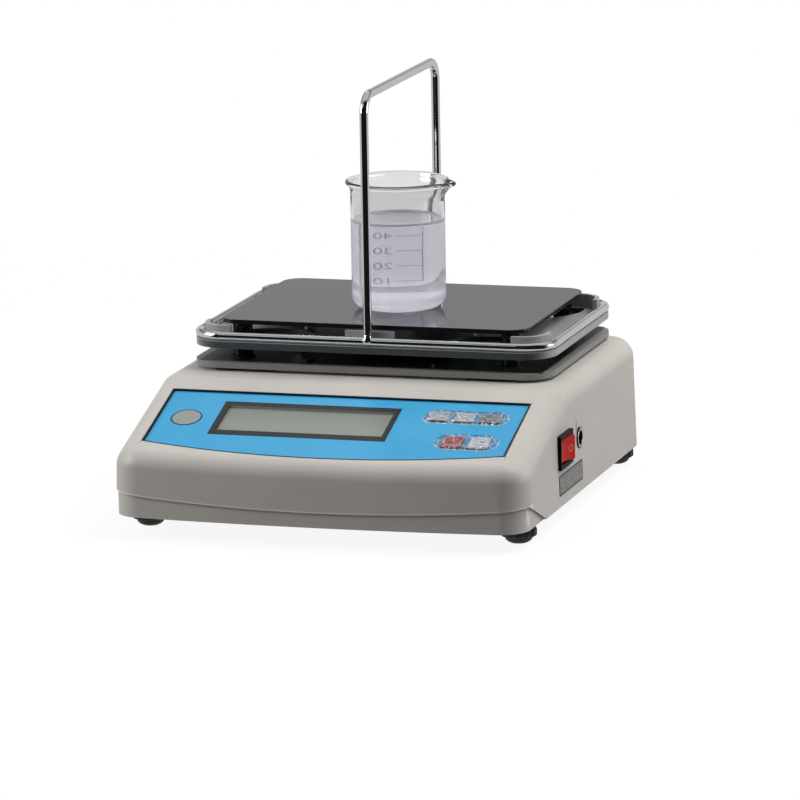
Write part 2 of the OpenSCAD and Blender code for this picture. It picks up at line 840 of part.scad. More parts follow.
// Arm from the live end of the load cell to the hub under the middle of the tray
module pan_carrier() {
    arm_z = cell_top + arm_pad_h;
    live_y = cell_y0 + cell_l - cell_end;
    color(black) difference() {
        union() {
            translate([-cell_w / 2, live_y, cell_top]) cube([cell_w, cell_end, arm_pad_h + eps]);
            translate([-cell_w / 2, deck_y, arm_z]) cube([cell_w, cell_l / 2, arm_t]);
            translate([0, deck_y, arm_z]) cylinder(r = hub_r, h = tray_floor_z - spider_t - arm_z + eps);
            translate([0, deck_y, tray_floor_z - spider_t]) rounded_plate(spider_w, spider_d, spider_t, 8);
        }
        at_cell_end(live_y) translate([0, 0, cell_top - 1]) cylinder(r = 2.2, h = arm_pad_h + arm_t + 2);
        at_tray_screws() translate([0, 0, tray_floor_z - spider_t - 1])
            cylinder(r = screw_r + 0.05, h = spider_t + 2);
        for (x = [-27, 27]) translate([x, deck_y, tray_floor_z - spider_t - 1])
            cylinder(r = 9, h = spider_t + 2);
    }
}

module at_tray_screws() {
    for (x = [-tray_screw_x, tray_screw_x], y = [-tray_screw_y, tray_screw_y])
        translate([x, deck_y + y, 0]) children();
}

module tray_screws() {
    color(alloy) at_tray_screws() {
        translate([0, 0, tray_top]) cylinder(r = screw_head_r, h = 1.8);
        translate([0, 0, tray_floor_z - 4]) cylinder(r = screw_r, h = tray_floor_t + 4 + eps);
    }
}

/* Trays */

module lower_tray() {
    color([0.62, 0.62, 0.61]) translate([0, deck_y, 0]) difference() {
        union() {
            translate([0, 0, low_tray_z]) rounded_plate(low_tray_w, low_tray_d, low_tray_t, low_tray_r);
            translate([0, 0, house_h]) difference() {
                rounded_plate(low_tray_w - 2 * rim_inset, low_tray_d - 2 * rim_inset,
                    rim_foot_h + eps, low_tray_r - rim_inset);
                translate([0, 0, -1]) rounded_plate(low_tray_w - 4 * rim_inset,
                    low_tray_d - 4 * rim_inset, rim_foot_h + 1, low_tray_r - 2 * rim_inset);
            }
            translate([0, 0, house_h]) cylinder(r = hub_r + 8, h = rim_foot_h + low_tray_t + 2);
            for (x = [-deck_screw_x, deck_screw_x], y = [-deck_screw_y, deck_screw_y])
                translate([x, y, house_h]) cylinder(r = 4.4, h = rim_foot_h + eps);
        }
        translate([0, 0, house_h - 1]) cylinder(r = hub_r + 4, h = over);
        for (s = clip_slots, y = [-1, 1]) translate([s[0], y * low_tray_d / 2, house_h - 1])
            linear_extrude(rim_foot_h + 1) square([s[1], 4 * rim_inset], center = true);
        for (x = [-1, 1], y = [-1, 1])
            translate([x * low_tray_w / 2, y * (side_slot_y - deck_y), house_h - 1])
                linear_extrude(rim_foot_h + 1) square([4 * rim_inset, side_slot_l], center = true);
        for (x = [-1, 1], y = [-1, 1]) {
            translate([x * leg_x, y * leg_y, low_tray_top - seat_recess])
                cylinder(r = pad_r + 0.4, h = over);
            translate([x * deck_screw_x, y * deck_screw_y, house_h - 1])
                cylinder(r = screw_r + 0.2, h = over);
        }
    }
}

module deck_screws() {
    color(alloy) at_deck_screws() {
        translate([0, 0, low_tray_top]) cylinder(r = screw_head_r, h = 1.6);
        translate([0, 0, house_h - 5]) cylinder(r = screw_r, h = low_tray_top - house_h + 5 + eps);
    }
}

// The weighed tray: a rim for the ring, windows for the table's legs, and ears inside the ring
module upper_tray() {
    color(tray_grey) translate([0, deck_y, tray_z]) difference() {
        union() {
            rounded_plate(tray_w, tray_d, tray_rim_t, ring_r + rod_d / 2);
            translate([0, 0, tray_rim_t - eps]) linear_extrude(ear_h + eps) ears();
            translate([0, 0, tray_rim_t - eps]) linear_extrude(ear_h + eps)
                for (y = [-1, 1]) translate([0, y * (ear_d - ear_t) / 2])
                    square([tab_w, ear_t], center = true);
        }
        for (x = [-1, 1], y = [-1, 1]) translate([0, 0, -1]) linear_extrude(tray_rim_t + 2) intersection() {
            translate([x * window_x, y * window_y]) circle(window_r);
            square([tray_w, ear_d - 2 * ear_t - 2], center = true);
        }
        for (x = [-1, 1], y = [-1, 1]) translate([x * leg_x, y * leg_y, -1])
            cylinder(r = leg_d / 2 + leg_pass, h = over);
        translate([0, 0, -eps])
            rounded_plate(tray_w - 16, tray_d - 16, tray_rim_t - tray_floor_t + eps, ring_r - 6);
        for (x = [-1, 1], y = [-1, 1]) translate([x * tray_screw_x, y * tray_screw_y, -1])
            cylinder(r = screw_r + 0.2, h = over);
    }
}

// Four curved corner walls that keep the ring in place
module ears() {
    r = ring_r - rod_d / 2 - ear_gap;
    difference() {
        rounded_outline(ear_w, ear_d, r);
        rounded_outline(ear_w - 2 * ear_t, ear_d - 2 * ear_t, r - ear_t);
        square([ear_w - 2 * ear_reach, tray_d], center = true);
        square([tray_w, ear_d - 2 * ear_reach], center = true);
    }
}

/* Wire frame */

// Rods and quarter bends of a flat rounded loop
module wire_ring() {
    x = ring_w / 2;
    y = ring_d / 2;
    color(chrome) translate([0, deck_y, ring_z]) {
        for (s = [-1, 1]) {
            translate([s * x, 0, 0]) rotate([90, 0, 0])
                cylinder(r = rod_d / 2, h = ring_d - 2 * ring_r, center = true);
            translate([0, s * y, 0]) rotate([0, 90, 0])
                cylinder(r = rod_d / 2, h = ring_w - 2 * ring_r, center = true);
        }
        for (a = [0, 180]) rotate([0, 0, a]) {
            translate([x - ring_r, y - ring_r, 0]) bend(ring_r, 0);
            translate([ring_r - x, y - ring_r, 0]) bend(ring_r, 90);
        }
    }
}

module bend(r, from) {
    rotate([0, 0, from]) rotate_extrude(angle = 90) translate([r, 0]) circle(rod_d / 2);
}

// The arch over the table, with its legs coped to the ring
module wire_bail() {
    y = ring_d / 2;
    color(chrome) translate([0, deck_y, 0]) difference() {
        union() {
            for (s = [-1, 1]) translate([0, s * y, ring_z + rod_d / 4])
                cylinder(r = rod_d / 2, h = bail_h - bail_r - rod_d / 4);
            translate([0, 0, bail_z]) rotate([90, 0, 0])
                cylinder(r = rod_d / 2, h = ring_d - 2 * bail_r, center = true);
            for (s = [-1, 1]) translate([0, s * (y - bail_r), bail_z - bail_r])
                rotate([90, 0, 90]) bend(bail_r, s > 0 ? 0 : 90);
        }
        for (s = [-1, 1]) translate([0, s * y, ring_z]) rotate([0, 90, 0])
            cylinder(r = rod_d / 2, h = 4 * rod_d, center = true);
    }
}

/* Table and beaker */

module table_plate() {
    color(black) translate([0, deck_y, table_z]) rounded_plate(table_w, table_d, table_t, table_r);
}

module at_legs() {
    for (x = [-leg_x, leg_x], y = [-leg_y, leg_y]) translate([x, deck_y + y, 0]) children();
}

module table_legs() {
    z = low_tray_top - seat_recess + pad_h;
    color(black) at_legs() translate([0, 0, z]) cylinder(d = leg_d, h = table_z - z);
}

module table_pads() {
    color([0.12, 0.12, 0.12]) at_legs() translate([0, 0, low_tray_top - seat_recess])
        cylinder(r = pad_r, h = pad_h);
}

beaker_y = deck_y - beaker_fwd;
beaker_corner_r = 6;
base_t = 1.8;
rim_out = 2.2;
rim_t = 2.6;
spout_turn = -10;
spout_reach = 6;
spout_drop = 9;

module beaker() {
    r = beaker_d / 2;
    color([0.85, 0.92, 0.95, 0.35]) translate([0, beaker_y, table_top]) rotate([0, 0, spout_turn])
        difference() {
            union() {
                rotate_extrude() glass_profile(r, beaker_corner_r, 0, beaker_h);
                translate([0, 0, beaker_h - rim_t]) rotate_extrude() rim_profile(r);
                spout_form(glass_t);
            }
            rotate_extrude() glass_profile(r - glass_t, beaker_corner_r - glass_t, base_t, beaker_h + 1);
            translate([0, 0, eps]) spout_form(0);
        }
}

module glass_profile(r, corner, z0, z1) {
    translate([0, z0]) square([r - corner, corner + eps]);
    translate([0, z0 + corner]) square([r, z1 - z0 - corner]);
    intersection() {
        translate([r - corner, z0 + corner]) circle(corner);
        translate([0, z0]) square([r, corner]);
    }
}

module rim_profile(r) {
    polygon([[r - glass_t, 0], [r, 0], [r + rim_out - 0.6, rim_t - 1.4], [r + rim_out, rim_t - 0.7],
        [r + rim_out - 0.6, rim_t], [r - glass_t, rim_t]]);
}

// The pouring lip, drawn out of the rim
module spout_form(t) {
    r = beaker_d / 2;
    hull() {
        translate([r - 6, 0, beaker_h - spout_drop]) sphere(0.6 + t, $fn = 24);
        translate([r - 5, 0, beaker_h - eps]) cylinder(r = 5 + t, h = eps, $fn = 32);
        translate([r + spout_reach - 1, 0, beaker_h - eps]) cylinder(r = 1.2 + t, h = eps, $fn = 32);
    }
}

/* Side fittings */

module switch_body() {
    color(black) translate([side_x, switch_y, switch_z]) difference() {
        union() {
            translate([0, -(switch_l - 0.2) / 2, -(switch_h - 0.2) / 2])
                cube([bezel_t, switch_l - 0.2, switch_h - 0.2]);
            translate([-switch_body_t, -switch_body_l / 2, -switch_body_h / 2])
                cube([switch_body_t + eps, switch_body_l, switch_body_h]);
            for (y = [-6, 0, 6]) translate([-switch_body_t - 6, y - 0.4, -2.4]) cube([6 + eps, 0.8, 4.8]);
        }
        translate([rocker_x - side_x, 0, 0])
            cylinder(r = rocker_r + rocker_gap, h = rocker_h + 2 * rocker_gap, center = true);
        translate([rocker_x - side_x, -rocker_r - rocker_gap, -rocker_h / 2 - rocker_gap])
            cube([over, 2 * (rocker_r + rocker_gap), rocker_h + 2 * rocker_gap]);
        translate([rocker_x - side_x, 0, 0])
            cylinder(r = pivot_r + run_gap, h = rocker_h + 2 * pivot_l + 0.4, center = true);
    }
}

// The rocker, tilted with its front end pressed in; its ends are arcs about its pivot
module rocker() {
    color([0.80, 0.16, 0.14]) translate([rocker_x, switch_y, switch_z]) rotate([0, 0, -rocker_tilt]) {
        linear_extrude(rocker_h, center = true) intersection() {
            circle(rocker_r);
            polygon([
                [-4, -5.4],
                [-4, 5.4],
                [0, rocker_r],
                [rocker_face + rocker_r * tan(rocker_tilt), rocker_r],
                [rocker_face, 0],
                [rocker_face + rocker_r * tan(rocker_tilt), -rocker_r],
                [0, -rocker_r]
            ]);
        }
        cylinder(r = pivot_r, h = rocker_h + 2 * pivot_l, center = true);
    }
}

module dc_socket() {
    color([0.2, 0.2, 0.21]) translate([side_x, socket_y, switch_z]) rotate([0, 90, 0]) difference() {
        union() {
            cylinder(r = socket_rim_r, h = socket_rim_t);
            translate([0, 0, -wall - 1]) cylinder(r = socket_barrel_r, h = wall + 1 + eps);
            translate([-4.5, -4.5, -socket_l]) cube([9, 9, socket_l - wall]);
        }
        translate([0, 0, 1 - socket_l]) cylinder(r = socket_hole_r, h = over);
    }
}

module dc_pin() {
    color(alloy) translate([side_x - socket_l + 1, socket_y, switch_z]) rotate([0, 90, 0])
        cylinder(r = 1.05, h = socket_l - 2);
}

/* Levelling feet */

module stud(i) {
    color(alloy) translate([feet[i][0], feet[i][1], stud_z]) cylinder(d = stud_d, h = stud_l);
}

// A moulded hand wheel with a fluted grip over a rounded sole
module wheel(i) {
    r = wheel_d / 2;
    color(black) translate([feet[i][0], feet[i][1], 0]) difference() {
        rotate_extrude() {
            square([r - grip_step - sole_r, wheel_h]);
            translate([0, sole_r]) square([r - grip_step, wheel_h - sole_r]);
            translate([0, grip_z]) square([r, wheel_h - grip_z]);
            intersection() {
                translate([r - grip_step - sole_r, sole_r]) circle(sole_r);
                square([r, sole_r]);
            }
        }
        for (a = [1:grip_flutes]) rotate([0, 0, a * 360 / grip_flutes])
            translate([r + 0.75, 0, grip_z - 1]) cylinder(r = 1, h = wheel_h);
        translate([0, 0, wheel_bore_z]) cylinder(r = stud_d / 2 + run_gap, h = wheel_h);
    }
}

module stud_front_left() { stud(0); }
module stud_front_right() { stud(1); }
module stud_rear_left() { stud(2); }
module stud_rear_right() { stud(3); }
module wheel_front_left() { wheel(0); }
module wheel_front_right() { wheel(1); }
module wheel_rear_left() { wheel(2); }
module wheel_rear_right() { wheel(3); }

lower_housing();
upper_housing();
control_overlay();
blank_inlay();
display_bezel();
display_panel();
upper_key_cover();
lower_key_cover();
key_left();
key_middle();
key_right();
key_red();
key_grey();
key_board();
tact_switches();
main_board();
board_parts();
ribbon_cable();
housing_screws();
board_screws();
load_cell();
cell_mount();
cell_screws();
pan_carrier();
upper_tray();
tray_screws();
lower_tray();
deck_screws();
wire_ring();
wire_bail();
table_plate();
table_legs();
table_pads();
beaker();
switch_body();
rocker();
dc_socket();
dc_pin();
stud_front_left();
stud_front_right();
stud_rear_left();
stud_rear_right();
wheel_front_left();
wheel_front_right();
wheel_rear_left();
wheel_rear_right();
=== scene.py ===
import json
import math

import bmesh
import bpy
from mathutils import Matrix, Vector

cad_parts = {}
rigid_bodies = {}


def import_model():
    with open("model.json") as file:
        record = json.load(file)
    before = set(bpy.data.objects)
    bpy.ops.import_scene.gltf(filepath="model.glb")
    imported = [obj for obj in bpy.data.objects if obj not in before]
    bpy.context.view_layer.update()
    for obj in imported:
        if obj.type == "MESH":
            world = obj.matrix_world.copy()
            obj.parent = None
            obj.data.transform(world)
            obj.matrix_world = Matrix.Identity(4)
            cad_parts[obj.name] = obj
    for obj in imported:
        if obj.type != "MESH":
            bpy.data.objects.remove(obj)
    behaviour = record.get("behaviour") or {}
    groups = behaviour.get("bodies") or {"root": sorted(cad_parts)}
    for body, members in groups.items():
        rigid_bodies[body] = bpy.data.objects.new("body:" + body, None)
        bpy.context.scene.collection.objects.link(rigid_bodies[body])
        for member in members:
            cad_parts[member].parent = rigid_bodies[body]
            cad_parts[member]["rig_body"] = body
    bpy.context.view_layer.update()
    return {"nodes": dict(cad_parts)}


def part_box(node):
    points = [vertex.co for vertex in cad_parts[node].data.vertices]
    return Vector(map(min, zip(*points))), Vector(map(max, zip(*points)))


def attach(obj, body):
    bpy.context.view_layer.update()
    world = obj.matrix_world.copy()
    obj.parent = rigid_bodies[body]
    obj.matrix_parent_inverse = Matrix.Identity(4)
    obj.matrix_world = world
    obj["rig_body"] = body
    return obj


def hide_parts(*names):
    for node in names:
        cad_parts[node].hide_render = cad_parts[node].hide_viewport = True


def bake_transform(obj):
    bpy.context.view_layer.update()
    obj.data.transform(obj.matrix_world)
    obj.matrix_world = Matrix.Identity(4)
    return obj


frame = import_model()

MM = 0.001


# ---------------------------------------------------------------------------------------
# Camera. A long lens a good way off, a little above the deck and to the right of the keys,
# as a product photographer would set it.

CAMERA_AZIMUTH, CAMERA_ELEVATION, CAMERA_ROLL = (math.radians(a) for a in (16.7, 11.5, -0.99))
camera_back = Vector((math.sin(CAMERA_AZIMUTH) * math.cos(CAMERA_ELEVATION),
                      -math.cos(CAMERA_AZIMUTH) * math.cos(CAMERA_ELEVATION),
                      math.sin(CAMERA_ELEVATION)))
camera_level = Vector((math.cos(CAMERA_AZIMUTH), math.sin(CAMERA_AZIMUTH), 0))
camera_upright = camera_back.cross(camera_level)
camera_right = math.cos(CAMERA_ROLL) * camera_level + math.sin(CAMERA_ROLL) * camera_upright
camera_up = camera_back.cross(camera_right)
CAMERA_PLACE = (0.7940, -2.6151, 0.6010)
CAMERA_SENSOR, CAMERA_LENS = 36, 278.0
camera_data = bpy.data.cameras.new("camera")
camera_data.sensor_width = CAMERA_SENSOR
camera_data.lens = CAMERA_LENS
camera = bpy.data.objects.new("camera", camera_data)
bpy.context.scene.collection.objects.link(camera)
camera.matrix_world = Matrix.Translation(CAMERA_PLACE) @ Matrix(
    (camera_right, camera_up, camera_back)).transposed().to_4x4()
bpy.context.scene.camera = camera
bpy.context.scene.view_settings.view_transform = "Standard"


# ---------------------------------------------------------------------------------------
# Studio. A pale floor and a white surround, which turns dark towards the camera where it is
# mirrored, so the chrome has dark cores. The key lamp isn't mirrored either: a small one in
# its place makes the highlights.

class Flow:
    """A value on its way through a shader. Arithmetic on it adds Math nodes."""

    def __init__(self, shader, socket):
        self.shader = shader
        self.socket = socket

    def maths(self, operation, *values):
        return self.shader.node("ShaderNodeMath", {"operation": operation}, dict(enumerate(values)))

    def __add__(self, other):
        return self.maths("ADD", self, other)

    def __radd__(self, other):
        return self.maths("ADD", other, self)

    def __sub__(self, other):
        return self.maths("SUBTRACT", self, other)

    def __rsub__(self, other):
        return self.maths("SUBTRACT", other, self)

    def __mul__(self, other):
        return self.maths("MULTIPLY", self, other)

    def __rmul__(self, other):
        return self.maths("MULTIPLY", other, self)

    def __truediv__(self, other):
        return self.maths("DIVIDE", self, other)

    def __pow__(self, other):
        return self.maths("POWER", self, other)

    def __abs__(self):
        return self.maths("ABSOLUTE", self)

    def larger(self, other):
        return self.maths("MAXIMUM", self, other)

    def step(self, low, high):
        """0 below low, 1 above high, and smooth between."""
        return self.shader.node(
            "ShaderNodeMapRange", {"interpolation_type": "SMOOTHSTEP"},
            {"Value": self, "From Min": low, "From Max": high, "To Min": 0, "To Max": 1})


class Shader:
    """A node tree that is built up by plain calls."""

    def __init__(self, tree):
        self.tree = tree

    def node(self, kind, settings=None, values=None, output=0):
        """Adds a node, sets it up, feeds its sockets, and gives back one of its outputs."""
        made = self.tree.nodes.new(kind)
        for name, value in (settings or {}).items():
            setattr(made, name, value)
        for key, value in (values or {}).items():
            socket = made.inputs[key]
            if isinstance(value, Flow):
                self.tree.links.new(value.socket, socket)
            elif isinstance(value, tuple) and len(socket.default_value) == 4:
                socket.default_value = (*value[:3], 1)
            else:
                socket.default_value = value
        return Flow(self, made.outputs[output])

    def blend(self, factor, first, second):
        """A colour between two others."""
        return self.node("ShaderNodeMix", {"data_type": "RGBA"}, {0: factor, 6: first, 7: second}, 2)

    def place(self):
        """Where a point of the surface is, in metres."""
        return self.node("ShaderNodeTexCoord", output=3)

    def axes(self, vector):
        """The three parts of a vector."""
        parts = self.node("ShaderNodeSeparateXYZ", values={0: vector})
        return [Flow(self, s) for s in parts.socket.node.outputs]

    def grain(self, size, detail=2.0, vector=None):
        """Soft random variation with features of a size in metres."""
        return self.node("ShaderNodeTexNoise", values={
            "Vector": vector or self.place(), "Scale": 1 / size, "Detail": detail})

    def relief(self, height, depth):
        """Bumps of a depth in metres."""
        return self.node("ShaderNodeBump", values={"Height": height, "Distance": depth, "Strength": 1.0})


class Finish(Shader):
    """A material: constants go straight on the surface shader, the rest is fed in."""

    def __init__(self, name, **constants):
        self.material = bpy.data.materials.new(name)
        self.material.use_nodes = True
        super().__init__(self.material.node_tree)
        self.surface = self.tree.nodes["Principled BSDF"]
        self.set(**constants)

    def set(self, **values):
        for key, value in values.items():
            socket = self.surface.inputs[key.replace("_", " ")]
            if isinstance(value, Flow):
                self.tree.links.new(value.socket, socket)
            elif isinstance(value, tuple):
                socket.default_value = (*value, 1)
            else:
                socket.default_value = value
        return self


def link(piece):
    bpy.context.scene.collection.objects.link(piece)
    return piece


def new_piece(name, points, faces, finish, smooth=False):
    """A mesh piece from its points, in metres in the part's own frame."""
    mesh = bpy.data.meshes.new(name)
    mesh.from_pydata([tuple(p) for p in points], [], faces)
    mesh.materials.append(finish.material)
    mesh.polygons.foreach_set("use_smooth", [smooth] * len(mesh.polygons))
    mesh.update()
    return link(bpy.data.objects.new(name, mesh))


# The dark room lies towards the camera: its direction, and how softly it begins.
ROOM_ACROSS, ROOM_NEAR = 0.287, 0.958
ROOM_EDGE = (0.10, 0.42)

floor_finish = Finish("studio_floor")
floor_rays = [floor_finish.node("ShaderNodeLightPath", output=o)
              for o in ("Is Camera Ray", "Is Glossy Ray", "Is Transmission Ray")]
floor_across, floor_away = floor_finish.axes(floor_finish.place())[:2]
floor_reach = (floor_across ** 2 + floor_away ** 2) ** 0.5
floor_far = floor_reach.step(0.20, 0.70)
floor_towards = (ROOM_ACROSS * floor_across - ROOM_NEAR * floor_away) / floor_reach
floor_room = floor_towards.step(*ROOM_EDGE) * floor_reach.step(0.13, 0.20)
floor_lit = floor_finish.node("ShaderNodeBsdfDiffuse", values={"Color": (0.10, 0.10, 0.10)})
floor_glow = floor_finish.node("ShaderNodeEmission", values={"Color": (1.0, 1.0, 1.0), "Strength": 0.91})
floor_near = floor_finish.node("ShaderNodeAddShader", values={0: floor_lit, 1: floor_glow})
floor_white = floor_finish.node("ShaderNodeEmission", values={"Color": (1.0, 1.0, 1.0), "Strength": 1.0})
floor_bright = floor_finish.node("ShaderNodeMixShader", values={0: floor_far, 1: floor_near, 2: floor_white})
floor_pale = floor_finish.node("ShaderNodeEmission", values={"Color": (1.0, 1.0, 1.0), "Strength": 0.55})
floor_dark = floor_finish.node("ShaderNodeEmission", values={"Color": (1.0, 1.0, 1.0), "Strength": 0.008})
floor_mirrored = floor_finish.node("ShaderNodeMixShader", values={
    0: floor_room, 1: floor_pale, 2: floor_dark})
floor_bounce = floor_finish.node("ShaderNodeBsdfDiffuse", values={"Color": (0.19, 0.19, 0.19)})
floor_seen = floor_finish.node("ShaderNodeMixShader", values={
    0: floor_rays[0].larger(floor_rays[2]), 1: floor_bounce, 2: floor_bright})
floor_mixed = floor_finish.node("ShaderNodeMixShader", values={
    0: floor_rays[1] * (1 - floor_rays[2]), 1: floor_seen, 2: floor_mirrored})
floor_finish.tree.links.new(floor_mixed.socket, floor_finish.tree.nodes["Material Output"].inputs["Surface"])
FLOOR_REACH = 6.0
floor = new_piece("studio_floor", [(-FLOOR_REACH, -FLOOR_REACH, 0), (FLOOR_REACH, -FLOOR_REACH, 0),
                                   (FLOOR_REACH, FLOOR_REACH, 0), (-FLOOR_REACH, FLOOR_REACH, 0)],
                  [(0, 1, 2, 3)], floor_finish)

world = bpy.data.worlds.new("studio")
bpy.context.scene.world = world
world.use_nodes = True
sky = Shader(world.node_tree)
sky_rays = [sky.node("ShaderNodeLightPath", output=o)
            for o in ("Is Camera Ray", "Is Glossy Ray", "Is Transmission Ray")]
sky_across, sky_away, sky_high = sky.axes(sky.node("ShaderNodeTexCoord", output=0))
sky_room = (ROOM_ACROSS * sky_across - ROOM_NEAR * sky_away).step(*ROOM_EDGE)
sky_band = 0.55 - 0.34 * (sky_high.step(0.25, 0.36) - 0.85 * sky_high.step(0.55, 0.68))
sky_top = 0.50 * sky_high.step(0.84, 0.97)
sky_gloss = 0.01 * sky_room + (1 - sky_room) * sky_band
sky_soft = 0.04 + 0.36 * sky_away.step(-0.6, 0.3).larger(sky_high.step(0.3, 0.9))
sky_open = sky_rays[0].larger(sky_rays[2])
sky_level = sky_open + (1 - sky_open) * (
    sky_rays[1] * sky_gloss.larger(sky_top) + (1 - sky_rays[1]) * sky_soft)
sky_shell = sky.tree.nodes["Background"]
sky.tree.links.new(sky_level.socket, sky_shell.inputs["Strength"])
sky_shell.inputs["Color"].default_value = (1, 1, 1, 1)


def softbox(name, place, aim, size, power):
    """A square lamp that faces a point."""
    data = bpy.data.lights.new(name, "AREA")
    data.size = size
    data.energy = power
    lamp = link(bpy.data.objects.new(name, data))
    lamp.location = place
    lamp.rotation_euler = (Vector(aim) - Vector(place)).to_track_quat("-Z", "Y").to_euler()
    return lamp


LAMP_AIM = (0, 0, 0.05)
KEY_PLACE = (0.68, 0.24, 1.15)
lamp_key = softbox("lamp_key", KEY_PLACE, LAMP_AIM, size=0.9, power=11.4)
lamp_key.visible_glossy = False
softbox("lamp_sheen", KEY_PLACE, LAMP_AIM, size=0.25, power=1.0)
softbox("lamp_left", (-0.82, -0.38, 0.46), LAMP_AIM, size=0.5, power=4.9)
softbox("lamp_front", (-0.7, -1.3, 1.5), LAMP_AIM, size=0.5, power=0.5)
softbox("lamp_side", (1.25, 0.40, 0.34), LAMP_AIM, size=0.5, power=2.2)
softbox("lamp_glint", (-0.36, 0.80, 0.92), (0, -0.06, 0.05), size=0.11, power=0.22)


# ---------------------------------------------------------------------------------------
# Lower shell. Injection moulded in warm light grey plastic with a fine spark-eroded grain.
# Only its chin shows, stepped in under the upper shell.

HOUSING_GREY = (0.60, 0.57, 0.53)


def moulded(name, colour, roughness, grain_size=0.0005, grain_depth=0.00001, drift=0.03, gloss=0.5):
    """Moulded plastic: a fine grain, and a colour that drifts a little over the part."""
    made = Finish(name, IOR=1.5, Specular_IOR_Level=gloss)
    patch = made.grain(0.04, 3)
    shade = made.blend(patch.step(0.3, 0.7), tuple(c * (1 - drift) for c in colour),
                       tuple(min(1, c * (1 + drift)) for c in colour))
    fine = made.grain(grain_size, 2)
    return made.set(Base_Color=shade, Roughness=roughness + 0.12 * (fine - 0.5) + 0.06 * (patch - 0.5),
                    Normal=made.relief(fine, grain_depth))


def dress(finish, *nodes):
    """Puts a finish on nodes that keep the shape they have."""
    for name in nodes:
        for place in frame["nodes"][name].material_slots:
            place.material = finish.material


def smoothed(node, finish, round_over=0.0, angle=30, merged=False):
    """A copy of a node, shaded evenly and with its sharp edges rounded over, that stands for it."""
    source = frame["nodes"][node]
    work = bmesh.new()
    work.from_mesh(source.data)
    bmesh.ops.remove_doubles(work, verts=work.verts, dist=3e-6)
    if round_over or merged:
        bmesh.ops.dissolve_limit(work, angle_limit=math.radians(0.5), verts=work.verts, edges=work.edges)
    if round_over:
        sharp = [e for e in work.edges
                 if len(e.link_faces) == 2 and e.calc_face_angle(0) > math.radians(angle)]
        bmesh.ops.bevel(work, geom=sharp, offset=round_over * MM, segments=2, profile=0.5,
                        affect="EDGES", clamp_overlap=True)
    mesh = bpy.data.meshes.new(node + "_smooth")
    work.to_mesh(mesh)
    work.free()
    mesh.materials.clear()
    mesh.materials.append(finish.material)
    mesh.polygons.foreach_set("use_smooth", [True] * len(mesh.polygons))
    mesh.polygons.foreach_set("material_index", [0] * len(mesh.polygons))
    mesh.set_sharp_from_angle(angle=math.radians(angle))
    piece = link(bpy.data.objects.new(node + "_smooth", mesh))
    even = piece.modifiers.new("even", "WEIGHTED_NORMAL")
    even.keep_sharp = True
    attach(piece, source["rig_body"])
    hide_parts(node)
    return piece


housing_finish = moulded("housing_plastic", HOUSING_GREY, 0.42)
smoothed("lower_housing", housing_finish, merged=True)


# ---------------------------------------------------------------------------------------
# Electronics. Glass-fibre boards with green solder mask over copper tracks, black moulded
# parts, a flat ribbon cable and zinc plated screws.

RASTER = 0.00127


def circuit_board(name):
    """Solder mask with faint tracks on a 1.27 mm raster and bright pads."""
    made = Finish(name, IOR=1.5)
    across, away = made.axes(made.place())[:2]
    rows = abs((away / RASTER).maths("FRACT", away / RASTER) - 0.5)
    columns = abs((across / RASTER).maths("FRACT", across / RASTER) - 0.5)
    tracks = rows.step(0.30, 0.36) * made.grain(0.006, 0).step(0.48, 0.50)
    pads = (1 - (rows ** 2 + columns ** 2).step(0.03, 0.04)) * made.grain(0.009, 0).step(0.55, 0.56)
    mask = made.blend(tracks, (0.010, 0.085, 0.035), (0.025, 0.17, 0.07))
    return made.set(Base_Color=made.blend(pads, mask, (0.62, 0.60, 0.55)), Metallic=0.9 * pads,
                    Roughness=0.30 + 0.1 * tracks, Normal=made.relief(tracks + pads, 0.00004))


def plated(name, colour, roughness):
    """Metal with fine turned or drawn marks."""
    made = Finish(name, Metallic=1.0)
    marks = made.grain(0.0003, 3)
    return made.set(Base_Color=made.blend(marks, tuple(c * 0.85 for c in colour), colour),
                    Roughness=roughness + 0.15 * (marks - 0.5), Normal=made.relief(marks, 0.000006))


board_finish = circuit_board("circuit_board")
black_finish = moulded("black_plastic", (0.018, 0.018, 0.020), 0.36)
screw_finish = plated("zinc_plate", (0.62, 0.63, 0.65), 0.32)
dress(board_finish, "main_board", "key_board")
dress(black_finish, "board_parts", "tact_switches")
dress(screw_finish, "board_screws", "housing_screws", "tray_screws")

ribbon_finish = Finish("ribbon_cable", IOR=1.5)
ribbon_across = ribbon_finish.axes(ribbon_finish.place())[0]
ribbon_cores = abs((ribbon_across / RASTER).maths("FRACT", ribbon_across / RASTER) - 0.5)
ribbon_finish.set(Base_Color=ribbon_finish.blend(ribbon_cores * 2, (0.42, 0.42, 0.45), (0.60, 0.60, 0.63)),
                  Roughness=0.45 + 0.1 * ribbon_cores, Normal=ribbon_finish.relief(ribbon_cores, 0.0004))
dress(ribbon_finish, "ribbon_cable")
